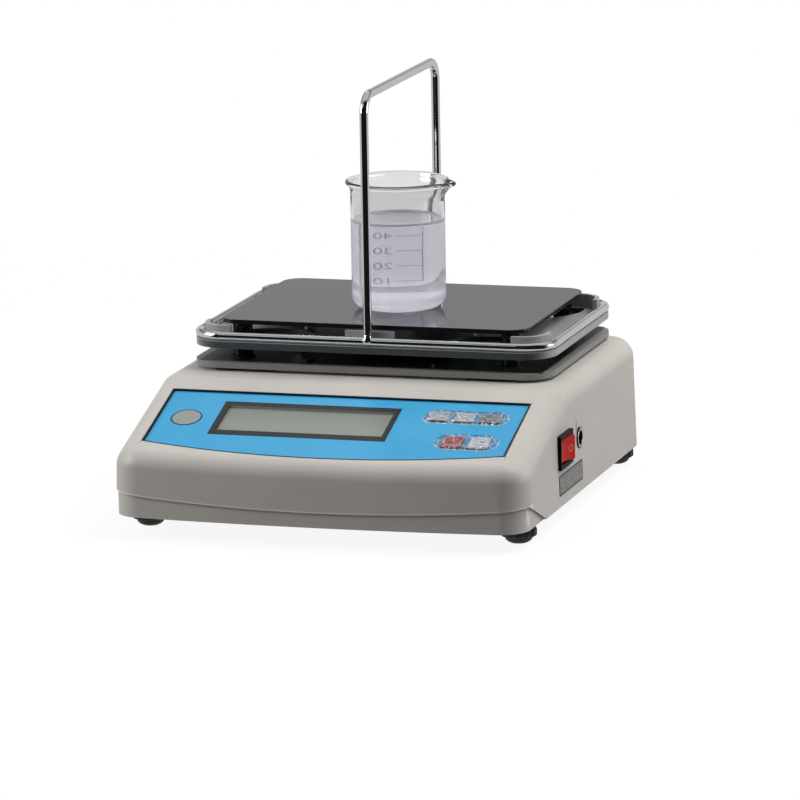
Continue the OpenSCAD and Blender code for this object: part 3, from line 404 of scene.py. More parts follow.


# ---------------------------------------------------------------------------------------
# Weighing system. A milled aluminium bar with two bores across it, on a block, and the arm
# and hub that carry the tray. The bar is a copy of the node.

milled_finish = Finish("milled_aluminium", Metallic=1.0)
milled_across, milled_away, milled_high = milled_finish.axes(milled_finish.place())
milled_lines = milled_finish.node("ShaderNodeCombineXYZ", values={
    0: milled_across * 0.05, 1: milled_away, 2: milled_high})
milled_marks = milled_finish.grain(0.0006, 3, milled_lines)
milled_finish.set(Base_Color=milled_finish.blend(milled_marks, (0.52, 0.53, 0.55), (0.70, 0.71, 0.73)),
                  Roughness=0.30 + 0.2 * (milled_marks - 0.5),
                  Normal=milled_finish.relief(milled_marks, 0.00001))
oxide_finish = plated("black_oxide", (0.05, 0.05, 0.055), 0.42)
dress(milled_finish, "cell_mount", "pan_carrier")
bar_mesh = frame["nodes"]["load_cell"].data.copy()
bar_mesh.materials.clear()
bar_mesh.materials.append(milled_finish.material)
bar_mesh.polygons.foreach_set("material_index", [0] * len(bar_mesh.polygons))
load_bar = link(bpy.data.objects.new("load_cell_bar", bar_mesh))
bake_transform(load_bar)
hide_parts("load_cell")
dress(oxide_finish, "cell_screws", "deck_screws")


# ---------------------------------------------------------------------------------------
# Upper shell. The same plastic, with the deck, the slope and the walls in one moulding. It
# sits over the lower shell along a bowed seam, held by four screws from below.

SEAM_MIDDLE, SEAM_END, HALF_WIDTH = 15.6, 19.8, 95.3
SEAM_HIGHLIGHT_END = 0.088
SEAM_R = (HALF_WIDTH ** 2 + (SEAM_END - SEAM_MIDDLE) ** 2) / (2 * (SEAM_END - SEAM_MIDDLE))
shell_finish = moulded("shell_plastic", HOUSING_GREY, 0.42)
shell_across, shell_away, shell_high = shell_finish.axes(shell_finish.place())
# Painted highlight: on the front, the lowest 0.75 mm of the shell above the seam is coloured paler, as light
# on its bottom edge.
seam_high = (SEAM_MIDDLE + SEAM_R) * MM - ((SEAM_R * MM) ** 2 - shell_across ** 2) ** 0.5
painted_seam_highlight = (shell_high - seam_high - 0.75 * MM).step(-0.15 * MM, 0.15 * MM)
painted_seam_highlight = (1 - painted_seam_highlight) * (1 - (shell_away + SEAM_HIGHLIGHT_END).step(0, 0.002))
shell_colour = Flow(shell_finish, shell_finish.surface.inputs["Base Color"].links[0].from_socket)
shell_finish.set(Base_Color=shell_finish.blend(0.75 * painted_seam_highlight, shell_colour, (0.93, 0.91, 0.88)))
smoothed("upper_housing", shell_finish)


# ---------------------------------------------------------------------------------------
# Control panel. A blue printed film in a shallow recess, with a thin dark line round it,
# and a round grey inlay with a dark rim at its left.

FRONT_EDGE = Vector((0, -0.106, 0.0364))
SLOPE_ANGLE = math.radians(17.6)
SLOPE = Matrix.Translation(FRONT_EDGE) @ Matrix.Rotation(SLOPE_ANGLE, 4, "X")
PANEL_BLUE = (0.034, 0.385, 0.70)
PANEL_HALF = 83.0 * MM
PANEL_HEAD = 64.5 * MM
PANEL_ARC = (83.2 ** 2 + 9 ** 2) / 18 * MM
PANEL_BOW = 8.1 * MM
PANEL_LINE = 0.75 * MM


def up_the_slope(finish):
    """Where a point of the surface lies on the slope: across it, and up it."""
    across, away, high = finish.axes(finish.place())
    up = (away - FRONT_EDGE.y) * math.cos(SLOPE_ANGLE) + (high - FRONT_EDGE.z) * math.sin(SLOPE_ANGLE)
    return across, up


panel_finish = Finish("panel_film", IOR=1.5)
panel_u, panel_v = up_the_slope(panel_finish)
panel_reach = (panel_u ** 2 + (panel_v - (PANEL_BOW + PANEL_ARC)) ** 2) ** 0.5
panel_edge = (abs(panel_u) - (PANEL_HALF - PANEL_LINE)).larger(panel_v - (PANEL_HEAD - PANEL_LINE))
panel_rim = panel_edge.larger(panel_reach - (PANEL_ARC - PANEL_LINE)).step(-0.08 * MM, 0.08 * MM)
panel_dye = panel_finish.grain(0.03, 2).step(0.3, 0.7)
panel_blue = panel_finish.blend(panel_dye, tuple(c * 0.96 for c in PANEL_BLUE), PANEL_BLUE)
panel_fine = panel_finish.grain(0.0004, 1)
panel_finish.set(Base_Color=panel_finish.blend(panel_rim, panel_blue, (0.035, 0.045, 0.06)),
                 Roughness=0.34 + 0.05 * panel_fine, Normal=panel_finish.relief(panel_fine, 0.000006))
dress(panel_finish, "control_overlay")

# Painted shade: a dark strip stands on the film's rim and covers the recess wall, putting dark colour where
# the recess is in shade.
shade_strip_finish = moulded("panel_shade_strip", (0.012, 0.020, 0.034), 0.5, gloss=0.2)
SHADE_STRIP_OUT = 0.15 * MM
shade_strip_half, shade_strip_head, shade_strip_width = PANEL_HALF + SHADE_STRIP_OUT, PANEL_HEAD + SHADE_STRIP_OUT, 0.6 * MM
shade_strip_arc = PANEL_ARC + SHADE_STRIP_OUT
SHADE_STRIP_FACE, SHADE_STRIP_BACK = -0.06 * MM, -0.86 * MM


def seal_outline(inset):
    """The line of the dark strip in the slope, moved in: along the top, then back along the bowed foot."""
    half, head, arc = shade_strip_half - inset, shade_strip_head - inset, shade_strip_arc - inset
    line = [(-half, head), (half, head)]
    for i in range(33):
        u = half * (1 - i / 16)
        line.append((u, PANEL_BOW + PANEL_ARC - math.sqrt(arc ** 2 - u ** 2)))
    return line


shade_strip_points, shade_strip_faces = [], []
for (u0, v0), (u1, v1) in zip(seal_outline(0), seal_outline(shade_strip_width)):
    for u, v, w in ((u0, v0, SHADE_STRIP_FACE), (u1, v1, SHADE_STRIP_FACE), (u1, v1, SHADE_STRIP_BACK), (u0, v0, SHADE_STRIP_BACK)):
        shade_strip_points.append(SLOPE @ Vector((u, v, w)))
shade_strip_count = len(shade_strip_points) // 4
for i in range(shade_strip_count):
    j = (i + 1) % shade_strip_count
    for k in range(4):
        m = (k + 1) % 4
        shade_strip_faces.append((4 * i + k, 4 * i + m, 4 * j + m, 4 * j + k))
panel_shade_strip = new_piece("panel_shade_strip", shade_strip_points, shade_strip_faces, shade_strip_finish)
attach(panel_shade_strip, "base")

INLAY_U, INLAY_V, INLAY_R = -69.6 * MM, 40.5 * MM, 7.1 * MM
inlay_finish = Finish("inlay_plastic", IOR=1.5)
inlay_u, inlay_v = up_the_slope(inlay_finish)
inlay_reach = ((inlay_u - INLAY_U) ** 2 + (inlay_v - INLAY_V) ** 2) ** 0.5
inlay_rim = inlay_reach.step(INLAY_R - 0.85 * MM, INLAY_R - 0.60 * MM)
inlay_fine = inlay_finish.grain(0.0004, 2)
inlay_grey = inlay_finish.blend(inlay_fine, (0.29, 0.31, 0.29), (0.33, 0.35, 0.33))
inlay_finish.set(Base_Color=inlay_finish.blend(inlay_rim, inlay_grey, (0.020, 0.060, 0.110)),
                 Roughness=0.40 + 0.1 * inlay_fine, Normal=inlay_finish.relief(inlay_fine, 0.00001))
dress(inlay_finish, "blank_inlay")


# ---------------------------------------------------------------------------------------
# Display. A dark grey moulded frame round a reflective liquid crystal panel, whose glass
# is grey-green, with painted shade that makes it a little darker towards its top, and with
# painted light on the frame's upper inner wall.

VIEW_FOOT, VIEW_HEAD = 31.0 * MM, 52.8 * MM
bezel_finish = moulded("bezel_plastic", (0.031, 0.032, 0.034), 0.42, gloss=0.22)
bezel_v = up_the_slope(bezel_finish)[1]
bezel_facing = bezel_finish.axes(bezel_finish.node("ShaderNodeNewGeometry", output=1))[1]
# Painted light: the frame's upper inner wall, which faces down the slope, is coloured pale grey-green in
# place of its shade.
bezel_painted_light_wall = (0 - bezel_facing).step(0.6, 0.8) * (bezel_v - VIEW_FOOT).step(5 * MM, 6 * MM)
bezel_colour = Flow(bezel_finish, bezel_finish.surface.inputs["Base Color"].links[0].from_socket)
bezel_finish.set(Base_Color=bezel_finish.blend(bezel_painted_light_wall, bezel_colour, (0.40, 0.42, 0.38)))
dress(bezel_finish, "display_bezel")

display_finish = Finish("display_glass", IOR=1.5, Specular_IOR_Level=0.2)
display_v = up_the_slope(display_finish)[1]
# Painted shade: the glass darkens towards its top, from 6 mm above the window's foot, as the frame's shade.
display_painted_shade = display_v.step(VIEW_FOOT + 6 * MM, VIEW_HEAD)
display_cloud = display_finish.grain(0.012, 2)
display_green = display_finish.blend(display_cloud, (0.265, 0.290, 0.255), (0.290, 0.315, 0.280))
display_finish.set(Base_Color=display_finish.blend(0.40 * display_painted_shade, display_green, (0.16, 0.175, 0.155)),
                   Roughness=0.30 + 0.1 * display_cloud)
dress(display_finish, "display_panel")


# ---------------------------------------------------------------------------------------
# Keys. Satin caps in white, slate and red, each pressed up under a clear film dome that
# covers its whole row. The film is drawn tight over the caps, with whitened creases and a
# pale line along its foot.

def key_cap(name, colour):
    """A satin cap with painted shade on its skirt: the faces that look down the slope are dark."""
    made = moulded(name, colour, 0.30)
    facing = made.axes(made.node("ShaderNodeNewGeometry", output=1))[1]
    top = Flow(made, made.surface.inputs["Base Color"].links[0].from_socket)
    return made.set(Base_Color=made.blend((0 - facing).step(0.60, 0.75), top, (0.022, 0.020, 0.022)))


key_white = key_cap("key_white", (0.76, 0.75, 0.74))
key_silver = key_cap("key_silver", (0.64, 0.63, 0.63))
key_slate = key_cap("key_slate", (0.27, 0.27, 0.28))
key_crimson = key_cap("key_crimson", (0.56, 0.050, 0.035))
for key, key_finish in (("key_left", key_silver), ("key_middle", key_silver), ("key_right", key_slate),
                        ("key_red", key_crimson), ("key_grey", key_white)):
    smoothed(key, key_finish, 0.45)

FILM_DEPTH = 0.88
FILM_FACET, FILM_CREASE = 0.0042, 0.0046
film_finish = Finish("clear_film")
film_clear = film_finish.node("ShaderNodeBsdfTransparent", values={"Color": (0.97, 0.98, 1.0)})
film_milk = film_finish.node("ShaderNodeBsdfDiffuse", values={"Color": (0.80, 0.90, 1.0)})
film_away, film_high = film_finish.axes(film_finish.place())[1:]
film_rise = ((film_high - FRONT_EDGE.z) * math.cos(SLOPE_ANGLE)
             - (film_away - FRONT_EDGE.y) * math.sin(SLOPE_ANGLE))
film_foot = 1 - (film_rise + FILM_DEPTH * MM).step(0.10 * MM, 0.45 * MM)
film_creases = film_finish.node("ShaderNodeTexVoronoi", values={
    "Vector": film_finish.place(), "Scale": 1 / FILM_FACET})
film_cells = film_finish.node("ShaderNodeTexVoronoi", {"feature": "DISTANCE_TO_EDGE"}, {
    "Vector": film_finish.place(), "Scale": 1 / FILM_CREASE})
film_stress = 1 - (film_cells + 0.10 * (film_finish.grain(0.0012, 3) - 0.5)).step(0.015, 0.07)
film_body = film_finish.node("ShaderNodeMixShader", values={
    0: 0.05 + 0.45 * film_foot + 0.38 * film_stress, 1: film_clear, 2: film_milk})
film_ripple = film_finish.relief(film_creases + 0.8 * film_finish.grain(0.0016, 2), 0.0011)
film_gloss = film_finish.node("ShaderNodeBsdfGlossy", values={
    "Color": (1.0, 1.0, 1.0), "Roughness": 0.10, "Normal": film_ripple})
film_facing = film_finish.node("ShaderNodeLayerWeight", values={"Blend": 0.25, "Normal": film_ripple})
film_mixed = film_finish.node("ShaderNodeMixShader", values={
    0: 0.10 + 0.6 * film_facing, 1: film_body, 2: film_gloss})
film_finish.tree.links.new(film_mixed.socket, film_finish.tree.nodes["Material Output"].inputs["Surface"])


def ease(t):
    """A smooth rise from 0 to 1."""
    t = max(0.0, min(1.0, t))
    return t * t * (3 - 2 * t)


def key_dome(name, node, centre_u, centre_v, length, width, keys, key_w, key_d):
    """A film dome over a row of keys, as a fine grid that is cut to a capsule."""
    foot, crown, cap_rise = -FILM_DEPTH, 0.30, 0.32
    cell = 0.35
    half_l, half_w = length / 2, width / 2
    columns, rows = int(length / cell) + 1, int(width / cell) + 1
    points, faces, index = [], [], {}

    def inside(u, v):
        du = max(0.0, abs(u) - (half_l - half_w))
        return half_w - math.hypot(du, v)

    for j in range(rows + 1):
        for i in range(columns + 1):
            u, v = -half_l + i * cell, -half_w + j * cell
            depth = inside(u, v)
            if depth < -cell * 0.7:
                continue
            if depth < 0:
                du = max(0.0, abs(u) - (half_l - half_w))
                scale = half_w / math.hypot(du, v)
                u = math.copysign(half_l - half_w + du * scale, u) if du else u
                v *= scale
                depth = 0
            rise = ease(depth / 2.0) ** 0.7
            z = foot + (crown - foot) * rise
            for key_u in keys:
                over = min(key_w / 2 + 0.5 - abs(u - key_u), key_d / 2 + 0.5 - abs(v))
                z += cap_rise * ease((over + 0.3) / 0.9)
            index[i, j] = len(points)
            points.append(SLOPE @ Vector(((centre_u + u) * MM, (centre_v + v) * MM, z * MM)))
    for j in range(rows):
        for i in range(columns):
            corners = [index.get(k) for k in ((i, j), (i + 1, j), (i + 1, j + 1), (i, j + 1))]
            corners = [c for c in corners if c is not None]
            if len(corners) > 2:
                faces.append(corners)
    piece = new_piece(name, points, faces, film_finish, smooth=True)
    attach(piece, "base")
    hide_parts(node)


key_dome("film_dome_upper", "upper_key_cover", centre_u=56.8, centre_v=50.5, length=39.8, width=11.8,
         keys=(-12.3, -0.3, 11.7), key_w=9.4, key_d=7.8)
key_dome("film_dome_lower", "lower_key_cover", centre_u=62.9, centre_v=28.9, length=29.6, width=13.8,
         keys=(-6.2, 5.8), key_w=9.0, key_d=10.0)


# ---------------------------------------------------------------------------------------
# Trays. Both are moulded in grey plastic: a paler one fixed to the deck, and above it the
# slate grey one that is weighed, with low walls at its corners and tabs at the bail's feet.
# Both carry painted shade: inside the rim of the fixed one, and on the front faces of the
# weighed one.

DECK_MIDDLE = 40 * MM
LOW_TRAY_HALF = (84.0, 60.0)
LOW_TRAY_RIM = 3.6
LOW_TRAY_FLOOR = 63.3 * MM
deck_finish = moulded("deck_plastic", (0.24, 0.24, 0.23), 0.42)
deck_across, deck_away, deck_high = deck_finish.axes(deck_finish.place())
# Painted shade: the floor of the fixed tray inside its rim, above 63.3 mm, is coloured near black, as the
# shade under the weighed tray.
deck_inside = (abs(deck_across) - (LOW_TRAY_HALF[0] - LOW_TRAY_RIM) * MM).larger(
    abs(deck_away - DECK_MIDDLE) - (LOW_TRAY_HALF[1] - LOW_TRAY_RIM) * MM)
deck_painted_shade = (1 - deck_inside.step(-0.6 * MM, 0.2 * MM)) * (deck_high - LOW_TRAY_FLOOR).step(0, 0.2 * MM)
deck_colour = Flow(deck_finish, deck_finish.surface.inputs["Base Color"].links[0].from_socket)
deck_finish.set(Base_Color=deck_finish.blend(deck_painted_shade, deck_colour, (0.014, 0.017, 0.016)))
smoothed("lower_tray", deck_finish, 0.3)

TRAY_TOP = 73.1 * MM
tray_finish = moulded("tray_plastic", (0.385, 0.398, 0.398), 0.34)
tray_facing = tray_finish.axes(tray_finish.node("ShaderNodeNewGeometry", output=1))[1]
tray_high = tray_finish.axes(tray_finish.place())[2]
# Painted shade: the faces that look to the front, below the tray top at 73.1 mm, are coloured dark slate.
tray_front_painted_shade = (0 - tray_facing).step(0.35, 0.95) * (1 - (tray_high - TRAY_TOP).step(-0.3 * MM, 0.05 * MM))
tray_colour = Flow(tray_finish, tray_finish.surface.inputs["Base Color"].links[0].from_socket)
tray_finish.set(Base_Color=tray_finish.blend(tray_front_painted_shade, tray_colour, (0.062, 0.076, 0.078)))
smoothed("upper_tray", tray_finish, 0.35)


# ---------------------------------------------------------------------------------------
# Wire frame. A ring of 4 mm steel rod with a tall bail welded on the middle of its front
# and rear sides, polished and chrome plated, with a small fillet of weld at each foot.

chrome_finish = Finish("chrome", Metallic=1.0)
chrome_cloud = chrome_finish.grain(0.006, 3)
chrome_finish.set(Base_Color=chrome_finish.blend(chrome_cloud, (0.80, 0.81, 0.82), (0.86, 0.87, 0.88)),
                  Roughness=0.05 + 0.05 * chrome_cloud, Normal=chrome_finish.relief(chrome_cloud, 0.00002))
for wire in ("wire_ring", "wire_bail"):
    smoothed(wire, chrome_finish, angle=50)


def turned(name, profile, finish, axis, sides=128, shape=None):
    """A piece turned about an upright axis from a profile of radius and height in millimetres."""
    points, faces = [], []
    for i in range(sides):
        angle = 2 * math.pi * i / sides
        for radius, height in profile:
            reach = radius + (shape(angle, height, radius) if shape else 0)
            points.append(axis + Vector((reach * math.cos(angle), reach * math.sin(angle), height)) * MM)
    count = len(profile)
    for i in range(sides):
        j = (i + 1) % sides
        for k in range(count - 1):
            faces.append((i * count + k, j * count + k, j * count + k + 1, i * count + k + 1))
    piece = new_piece(name, points, faces, finish, smooth=True)
    work = bmesh.new()
    work.from_mesh(piece.data)
    bmesh.ops.remove_doubles(work, verts=work.verts, dist=1e-6)
    bmesh.ops.recalc_face_normals(work, faces=work.faces)
    work.to_mesh(piece.data)
    work.free()
    return piece


def corner(radius, centre_r, centre_z, start, end, steps):
    """Points round a quarter turn of a profile."""
    return [(centre_r + radius * math.cos(math.radians(start + (end - start) * i / steps)),
             centre_z + radius * math.sin(math.radians(start + (end - start) * i / steps)))
            for i in range(steps + 1)]


ring_low, ring_high = (Vector(c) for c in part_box("wire_ring"))
bail_low, bail_high = (Vector(c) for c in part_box("wire_bail"))
WIRE_R = (ring_high.z - ring_low.z) / 2
BEAD_R, BEAD_OUT, BEAD_RISE = 2.35, 0.35 * MM, 0.4 * MM
BEAD_LINE = corner(BEAD_R, 0, 0, -90, 0, 8)
BEAD_LINE += [(2.33, 0.4), (2.25, 0.9), (2.1, 1.5), (1.9, 2.1), (1.75, 2.7), (1.6, 3.0), (0, 3.1)]
BEAD_PLACES = {"front": bail_low.y + WIRE_R - BEAD_OUT, "rear": bail_high.y - WIRE_R + BEAD_OUT}
for side, leg_y in BEAD_PLACES.items():
    bead = turned("weld_bead_" + side, BEAD_LINE, chrome_finish, sides=40,
                  axis=Vector((0, leg_y, ring_low.z + WIRE_R + BEAD_RISE)))
    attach(bead, "wire_frame")


# ---------------------------------------------------------------------------------------
# Table. A polished black acrylic sheet on four black legs with rubber pads, which stands
# on the fixed tray through the windows of the weighed one.

acrylic_finish = Finish("black_acrylic", IOR=1.42)
acrylic_haze = acrylic_finish.grain(0.05, 3)
acrylic_black = acrylic_finish.blend(acrylic_haze, (0.010, 0.010, 0.011), (0.014, 0.014, 0.015))
acrylic_finish.set(Base_Color=acrylic_black,
                   Roughness=0.03 + 0.05 * acrylic_haze)
rubber_finish = moulded("pad_rubber", (0.025, 0.025, 0.025), 0.75)
smoothed("table_plate", acrylic_finish, 0.25)
smoothed("table_legs", acrylic_finish)
dress(rubber_finish, "table_pads")


# ---------------------------------------------------------------------------------------
# Beaker. Blown borosilicate glass with a beaded rim, a drawn spout and a rounded base,
# graduated in fired enamel on its far side. The clear liquid glows faintly, in place of the
# light that a real one passes on.

BEAKER_AXIS = Vector((0, 33 * MM, 82.1 * MM))
BEAKER_R = 21.5
BEAKER_H = 58.8
WALL = 1.3
SPOUT_TURN = math.radians(-10)
SPOUT_H, SPOUT_REACH = 12, 5.6

glass_finish = Finish("beaker_glass", IOR=1.47, Transmission_Weight=1.0, Base_Color=(0.755, 0.76, 0.76))
glass_wave = glass_finish.grain(0.02, 1)
glass_finish.set(Roughness=0.004 * glass_wave, Normal=glass_finish.relief(glass_wave, 0.0003))


def spout_pull(angle, height):
    """How far the wall is drawn outwards for the spout, in millimetres."""
    turn = (angle - SPOUT_TURN + math.pi) % (2 * math.pi) - math.pi
    spread = math.exp(-(turn / 0.25) ** 2)
    return SPOUT_REACH * spread * ease((height - (BEAKER_H - SPOUT_H)) / SPOUT_H) ** 1.5


outer = [(0, 0.5), (9, 0.4), (13.5, 0.05)] + corner(6, BEAKER_R - 6, 6.0, -80, 0, 10)
outer += [(BEAKER_R, h) for h in (12, 20, 30, 40, 46, 49, 50.5, 52, 53.5)]
outer += [(BEAKER_R + 0.15, 54.8), (BEAKER_R + 0.5, 55.8), (BEAKER_R + 1.1, 56.6)]
outer += corner(1.05, BEAKER_R + 1.15, BEAKER_H - 1.05, -50, 150, 10)
inner = [(BEAKER_R + 0.05, 57.2), (BEAKER_R - 0.6, 56.2), (BEAKER_R - 1.05, 55.2)]
inner += [(BEAKER_R - WALL, h) for h in (54, 53, 52, 50.5, 49, 46, 40, 30, 20, 12)]
inner += corner(4.7, BEAKER_R - WALL - 4.7, 6.4, 0, -88, 8) + [(8, 1.9), (0, 2.2)]
beaker = turned("beaker_glass", outer + inner, glass_finish, BEAKER_AXIS,
                shape=lambda a, h, r: spout_pull(a, h) if r > 15 else 0)
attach(beaker, "beaker")
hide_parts("beaker")

LIQUID_TOP = 40.3
LIQUID_GLOW_FADE = (6 * MM, 17 * MM)
liquid_finish = Finish("liquid", IOR=1.333, Transmission_Weight=0.74, Base_Color=(0.93, 0.915, 0.975))
liquid_cloud = liquid_finish.grain(0.01, 1)
liquid_high = liquid_finish.axes(liquid_finish.place())[2] - BEAKER_AXIS.z
# Painted light: the liquid glows, more brightly below 6 mm and fading out up to 17 mm above the base.
liquid_painted_glow = liquid_finish.blend(1 - liquid_high.step(*LIQUID_GLOW_FADE),
                                  (0.052, 0.046, 0.062), (0.185, 0.176, 0.200))
liquid_finish.set(Roughness=0.002 * liquid_cloud, Normal=liquid_finish.relief(liquid_cloud, 0.00005),
                  Emission_Color=liquid_painted_glow, Emission_Strength=1.0)
liquid_r = BEAKER_R - WALL + 0.06
liquid_profile = [(0, 2.14), (8, 1.84)] + corner(4.76, BEAKER_R - WALL - 4.7, 6.4, -88, 0, 8)
liquid_profile += [(liquid_r, h) for h in (12, 20, 30, LIQUID_TOP - 1.0, LIQUID_TOP + 0.9)]
liquid_profile += [(liquid_r - 0.4, LIQUID_TOP + 0.45), (liquid_r - 1.1, LIQUID_TOP + 0.12),
                   (liquid_r - 2.2, LIQUID_TOP), (0, LIQUID_TOP)]
liquid = turned("beaker_liquid", liquid_profile, liquid_finish, BEAKER_AXIS)
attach(liquid, "beaker")

enamel_finish = Finish("beaker_enamel", IOR=1.5)
enamel_spots = enamel_finish.grain(0.0004, 2)
enamel_finish.set(Base_Color=enamel_finish.blend(enamel_spots, (0.62, 0.62, 0.67), (0.70, 0.70, 0.75)),
                  Roughness=0.6 + 0.2 * enamel_spots)
PRINT_R = BEAKER_R + 0.04
PRINT_TURN = math.pi / 2 + CAMERA_AZIMUTH


def on_the_glass(mesh):
    """Wraps a flat drawing, in millimetres, round the far side of the beaker."""
    for vertex in mesh.vertices:
        angle = PRINT_TURN + vertex.co.x / PRINT_R
        vertex.co = BEAKER_AXIS + Vector((PRINT_R * math.cos(angle), PRINT_R * math.sin(angle),
                                          vertex.co.y)) * MM


def stroke(x0, y0, x1, y1, points, faces):
    """A printed bar, cut short enough to bend."""
    steps = max(1, int((x1 - x0) / 0.5))
    base = len(points)
    for i in range(steps + 1):
        x = x0 + (x1 - x0) * i / steps
        points += [(x, y0, 0), (x, y1, 0)]
    faces += [(base + 2 * i, base + 2 * i + 2, base + 2 * i + 3, base + 2 * i + 1) for i in range(steps)]


GRADUATIONS = {10: 9.8, 20: 16.8, 30: 23.8, 40: 30.8}
print_points, print_faces = [], []
for height in GRADUATIONS.values():
    stroke(-5.5, height - 0.15, 0.5, height + 0.15, print_points, print_faces)
stroke(-5.65, 9.6, -5.35, 37.2, print_points, print_faces)
scale_lines = new_piece("beaker_scale", [Vector(p) for p in print_points], print_faces, enamel_finish)
on_the_glass(scale_lines.data)
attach(scale_lines, "beaker")
for amount, height in GRADUATIONS.items():
    curve = bpy.data.curves.new("figure", "FONT")
    curve.body = str(amount)
    curve.size = 4.6
    curve.resolution_u = 4
    holder = link(bpy.data.objects.new("figure", curve))
    bpy.context.view_layer.update()
    mesh = bpy.data.meshes.new_from_object(holder.evaluated_get(bpy.context.evaluated_depsgraph_get()))
    bpy.data.objects.remove(holder)
    for vertex in mesh.vertices:
        vertex.co.x += 1.3
        vertex.co.y += height - 1.6
    on_the_glass(mesh)
    mesh.materials.append(enamel_finish.material)
    figure = link(bpy.data.objects.new(f"beaker_figure_{amount}", mesh))
    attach(figure, "beaker")


# ---------------------------------------------------------------------------------------
# Switch. A small two-position rocker in polished red plastic with a moulded ring mark, in
# a black snap-in body.

rocker_finish = moulded("rocker_red", (0.60, 0.020, 0.013), 0.16, gloss=0.06)
switch_finish = moulded("switch_black", (0.005, 0.004, 0.003), 0.30, gloss=0.02)
smoothed("rocker", rocker_finish, 0.25)
smoothed("switch_body", switch_finish, 0.3)

PIVOT = Vector((92.3, -33.2, 33.4)) * MM
ROCKER_TILT = math.radians(10)
ROCKER_FACE = 2.9
mark_finish = Finish("rocker_mark", IOR=1.5)
mark_spots = mark_finish.grain(0.0003, 1)
mark_finish.set(Base_Color=mark_finish.blend(mark_spots, (0.82, 0.17, 0.15), (0.90, 0.21, 0.19)),
                Roughness=0.35 + 0.1 * mark_spots)


def rocker_point(along, up, proud=0.06):
    """A point on the rear or front facet of the rocker, from millimetres along and up it."""
    lean = math.tan(ROCKER_TILT) * abs(along)
    local = Vector(((ROCKER_FACE + lean + proud) * MM, along * MM, up * MM))
    return PIVOT + Matrix.Rotation(-ROCKER_TILT, 3, "Z") @ local


ring_points, ring_faces = [], []
RING_SIDES = 40
for i in range(RING_SIDES):
    turn = 2 * math.pi * i / RING_SIDES
    for radius in (1.25, 1.75):
        ring_points.append(rocker_point(4.6 + radius * math.cos(turn), radius * math.sin(turn)))
for i in range(RING_SIDES):
    j = (i + 1) % RING_SIDES
    ring_faces.append((2 * i, 2 * i + 1, 2 * j + 1, 2 * j))
ring_mark = new_piece("rocker_ring_mark", ring_points, ring_faces, mark_finish)
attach(ring_mark, "rocker")
bar_mark = new_piece("rocker_bar_mark", [rocker_point(a, u) for a, u in
                     ((-4.4, -1.7), (-4.0, -1.7), (-4.0, 1.7), (-4.4, 1.7))], [(0, 1, 2, 3)], mark_finish)
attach(bar_mark, "rocker")


# ---------------------------------------------------------------------------------------
# Rating plate. A silver film label with a dark printed border, stuck on the right wall
# under the switch.

PLATE_Y, PLATE_Z = (-43.0, -3.6), (14.0, 23.0)
WALL_FOOT, WALL_LEAN = 9, 41.6
plate_finish = Finish("rating_plate", Metallic=0.35)
plate_away, plate_high = plate_finish.axes(plate_finish.place())[1:]
plate_edge = (abs(plate_away - sum(PLATE_Y) / 2 * MM) - (PLATE_Y[1] - PLATE_Y[0]) / 2 * MM).larger(
    abs(plate_high - sum(PLATE_Z) / 2 * MM) - (PLATE_Z[1] - PLATE_Z[0]) / 2 * MM)
plate_rim = plate_edge.step(-0.75 * MM, -0.6 * MM)
plate_fine = plate_finish.grain(0.0005, 3)
plate_wear = plate_finish.grain(0.0007, 3).step(0.44, 0.62)
plate_dull = plate_finish.blend(plate_wear, (0.105, 0.100, 0.098), (0.52, 0.51, 0.50))
plate_grey = plate_finish.blend(0.35 * plate_fine, plate_dull, (0.22, 0.215, 0.21))
plate_finish.set(Base_Color=plate_finish.blend(plate_rim, plate_grey, (0.012, 0.012, 0.012)),
                 Roughness=0.36 + 0.1 * plate_fine, Normal=plate_finish.relief(plate_fine, 0.00001))


def wall_x(high):
    """How far out the right wall is at a height, in millimetres."""
    return HALF_WIDTH - (high - WALL_FOOT) / WALL_LEAN


plate_corners = [(PLATE_Y[0], PLATE_Z[0]), (PLATE_Y[1], PLATE_Z[0]),
                 (PLATE_Y[1], PLATE_Z[1]), (PLATE_Y[0], PLATE_Z[1])]
plate_points = [Vector((wall_x(z) + out, y, z)) * MM for out in (-0.05, 0.2) for y, z in plate_corners]
plate = new_piece("rating_plate", plate_points, [(4, 5, 6, 7), (0, 1, 5, 4), (1, 2, 6, 5), (2, 3, 7, 6),
                                                 (3, 0, 4, 7), (3, 2, 1, 0)], plate_finish)
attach(plate, "base")


# ---------------------------------------------------------------------------------------
# Power socket. A round black barrel socket with its centre pin and a nickel plated collar,
# behind the switch.

pin_finish = plated("socket_pin", (0.75, 0.72, 0.62), 0.22)
nickel_finish = plated("socket_nickel", (0.78, 0.74, 0.66), 0.20)
dress(switch_finish, "dc_socket")
dress(pin_finish, "dc_pin")

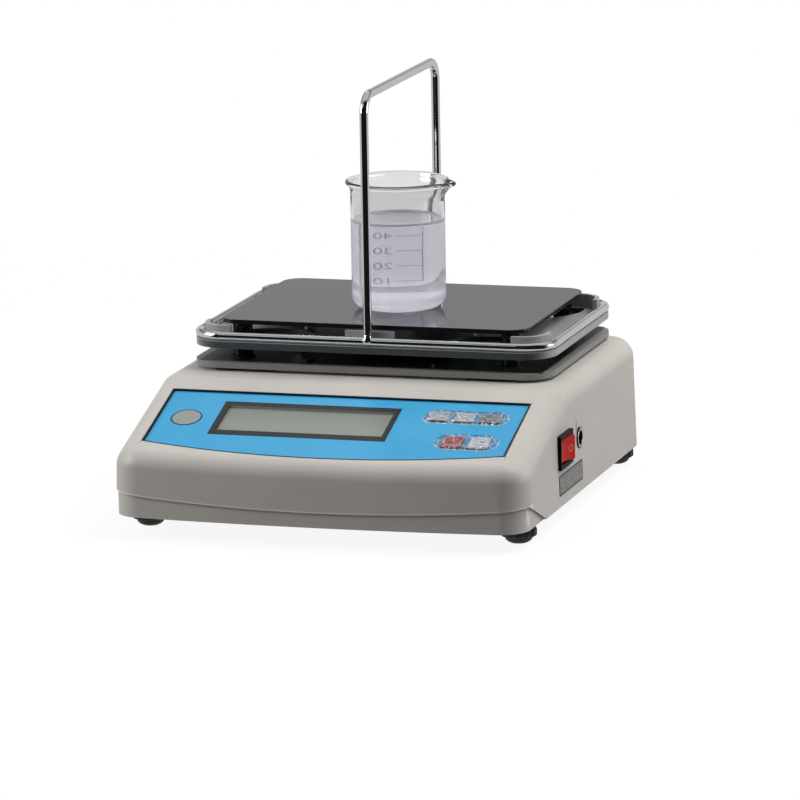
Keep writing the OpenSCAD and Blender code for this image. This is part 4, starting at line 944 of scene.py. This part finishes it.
SOCKET_FACE = Vector((94.3, -6.8, 33.4)) * MM
collar_points, collar_faces = [], []
COLLAR_SIDES = 48
COLLAR_LINE = [(4.55, 0.05), (4.55, 0.75), (4.25, 1.05), (3.75, 1.12), (3.35, 0.95), (3.2, 0.6), (3.2, 0.2)]
for i in range(COLLAR_SIDES):
    turn = 2 * math.pi * i / COLLAR_SIDES
    for radius, out in COLLAR_LINE:
        reach = Vector((out, radius * math.cos(turn), radius * math.sin(turn))) * MM
        collar_points.append(SOCKET_FACE + reach)
for i in range(COLLAR_SIDES):
    j = (i + 1) % COLLAR_SIDES
    for k in range(len(COLLAR_LINE) - 1):
        first, second = i * len(COLLAR_LINE) + k, j * len(COLLAR_LINE) + k
        collar_faces.append((first, second, second + 1, first + 1))
collar = new_piece("socket_collar", collar_points, collar_faces, nickel_finish, smooth=True)
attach(collar, "base")


# ---------------------------------------------------------------------------------------
# Levelling feet. Black moulded wheels with a fluted grip, each on a zinc plated stud that
# screws into a boss of the lower shell.

foot_finish = moulded("foot_plastic", (0.012, 0.012, 0.013), 0.45)
FEET = ("front_left", "front_right", "rear_left", "rear_right")
FLUTES, FLUTE_DEPTH, GRIP_R = 14, 0.8, 7.3
WHEEL_LINE = [(0, 0.02), (2.4, 0), (3.6, 0.2), (4.8, 0.75), (5.7, 1.5), (6.15, 2.3),
              (6.3, 2.9), (6.35, 3.05), (7.4, 3.2), (7.85, 3.45), (8.0, 3.9), (8.0, 5.0),
              (8.0, 6.2), (7.8, 6.65), (7.4, 6.88), (3.1, 6.9)]


def flute(angle, height, radius):
    """The finger flutes round the grip of a wheel."""
    return -FLUTE_DEPTH * max(0.0, math.cos(FLUTES * angle)) ** 2 if radius > GRIP_R else 0


for foot in FEET:
    lowest, highest = (Vector(corner_point) for corner_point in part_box("wheel_" + foot))
    middle = (lowest + highest) / 2
    wheel = turned("foot_wheel_" + foot, WHEEL_LINE, foot_finish, sides=160, shape=flute,
                   axis=Vector((middle.x, middle.y, lowest.z)))
    wheel.data.set_sharp_from_angle(angle=math.radians(50))
    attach(wheel, "wheel_" + foot)
    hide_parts("wheel_" + foot)
dress(screw_finish, *("stud_" + f for f in FEET))
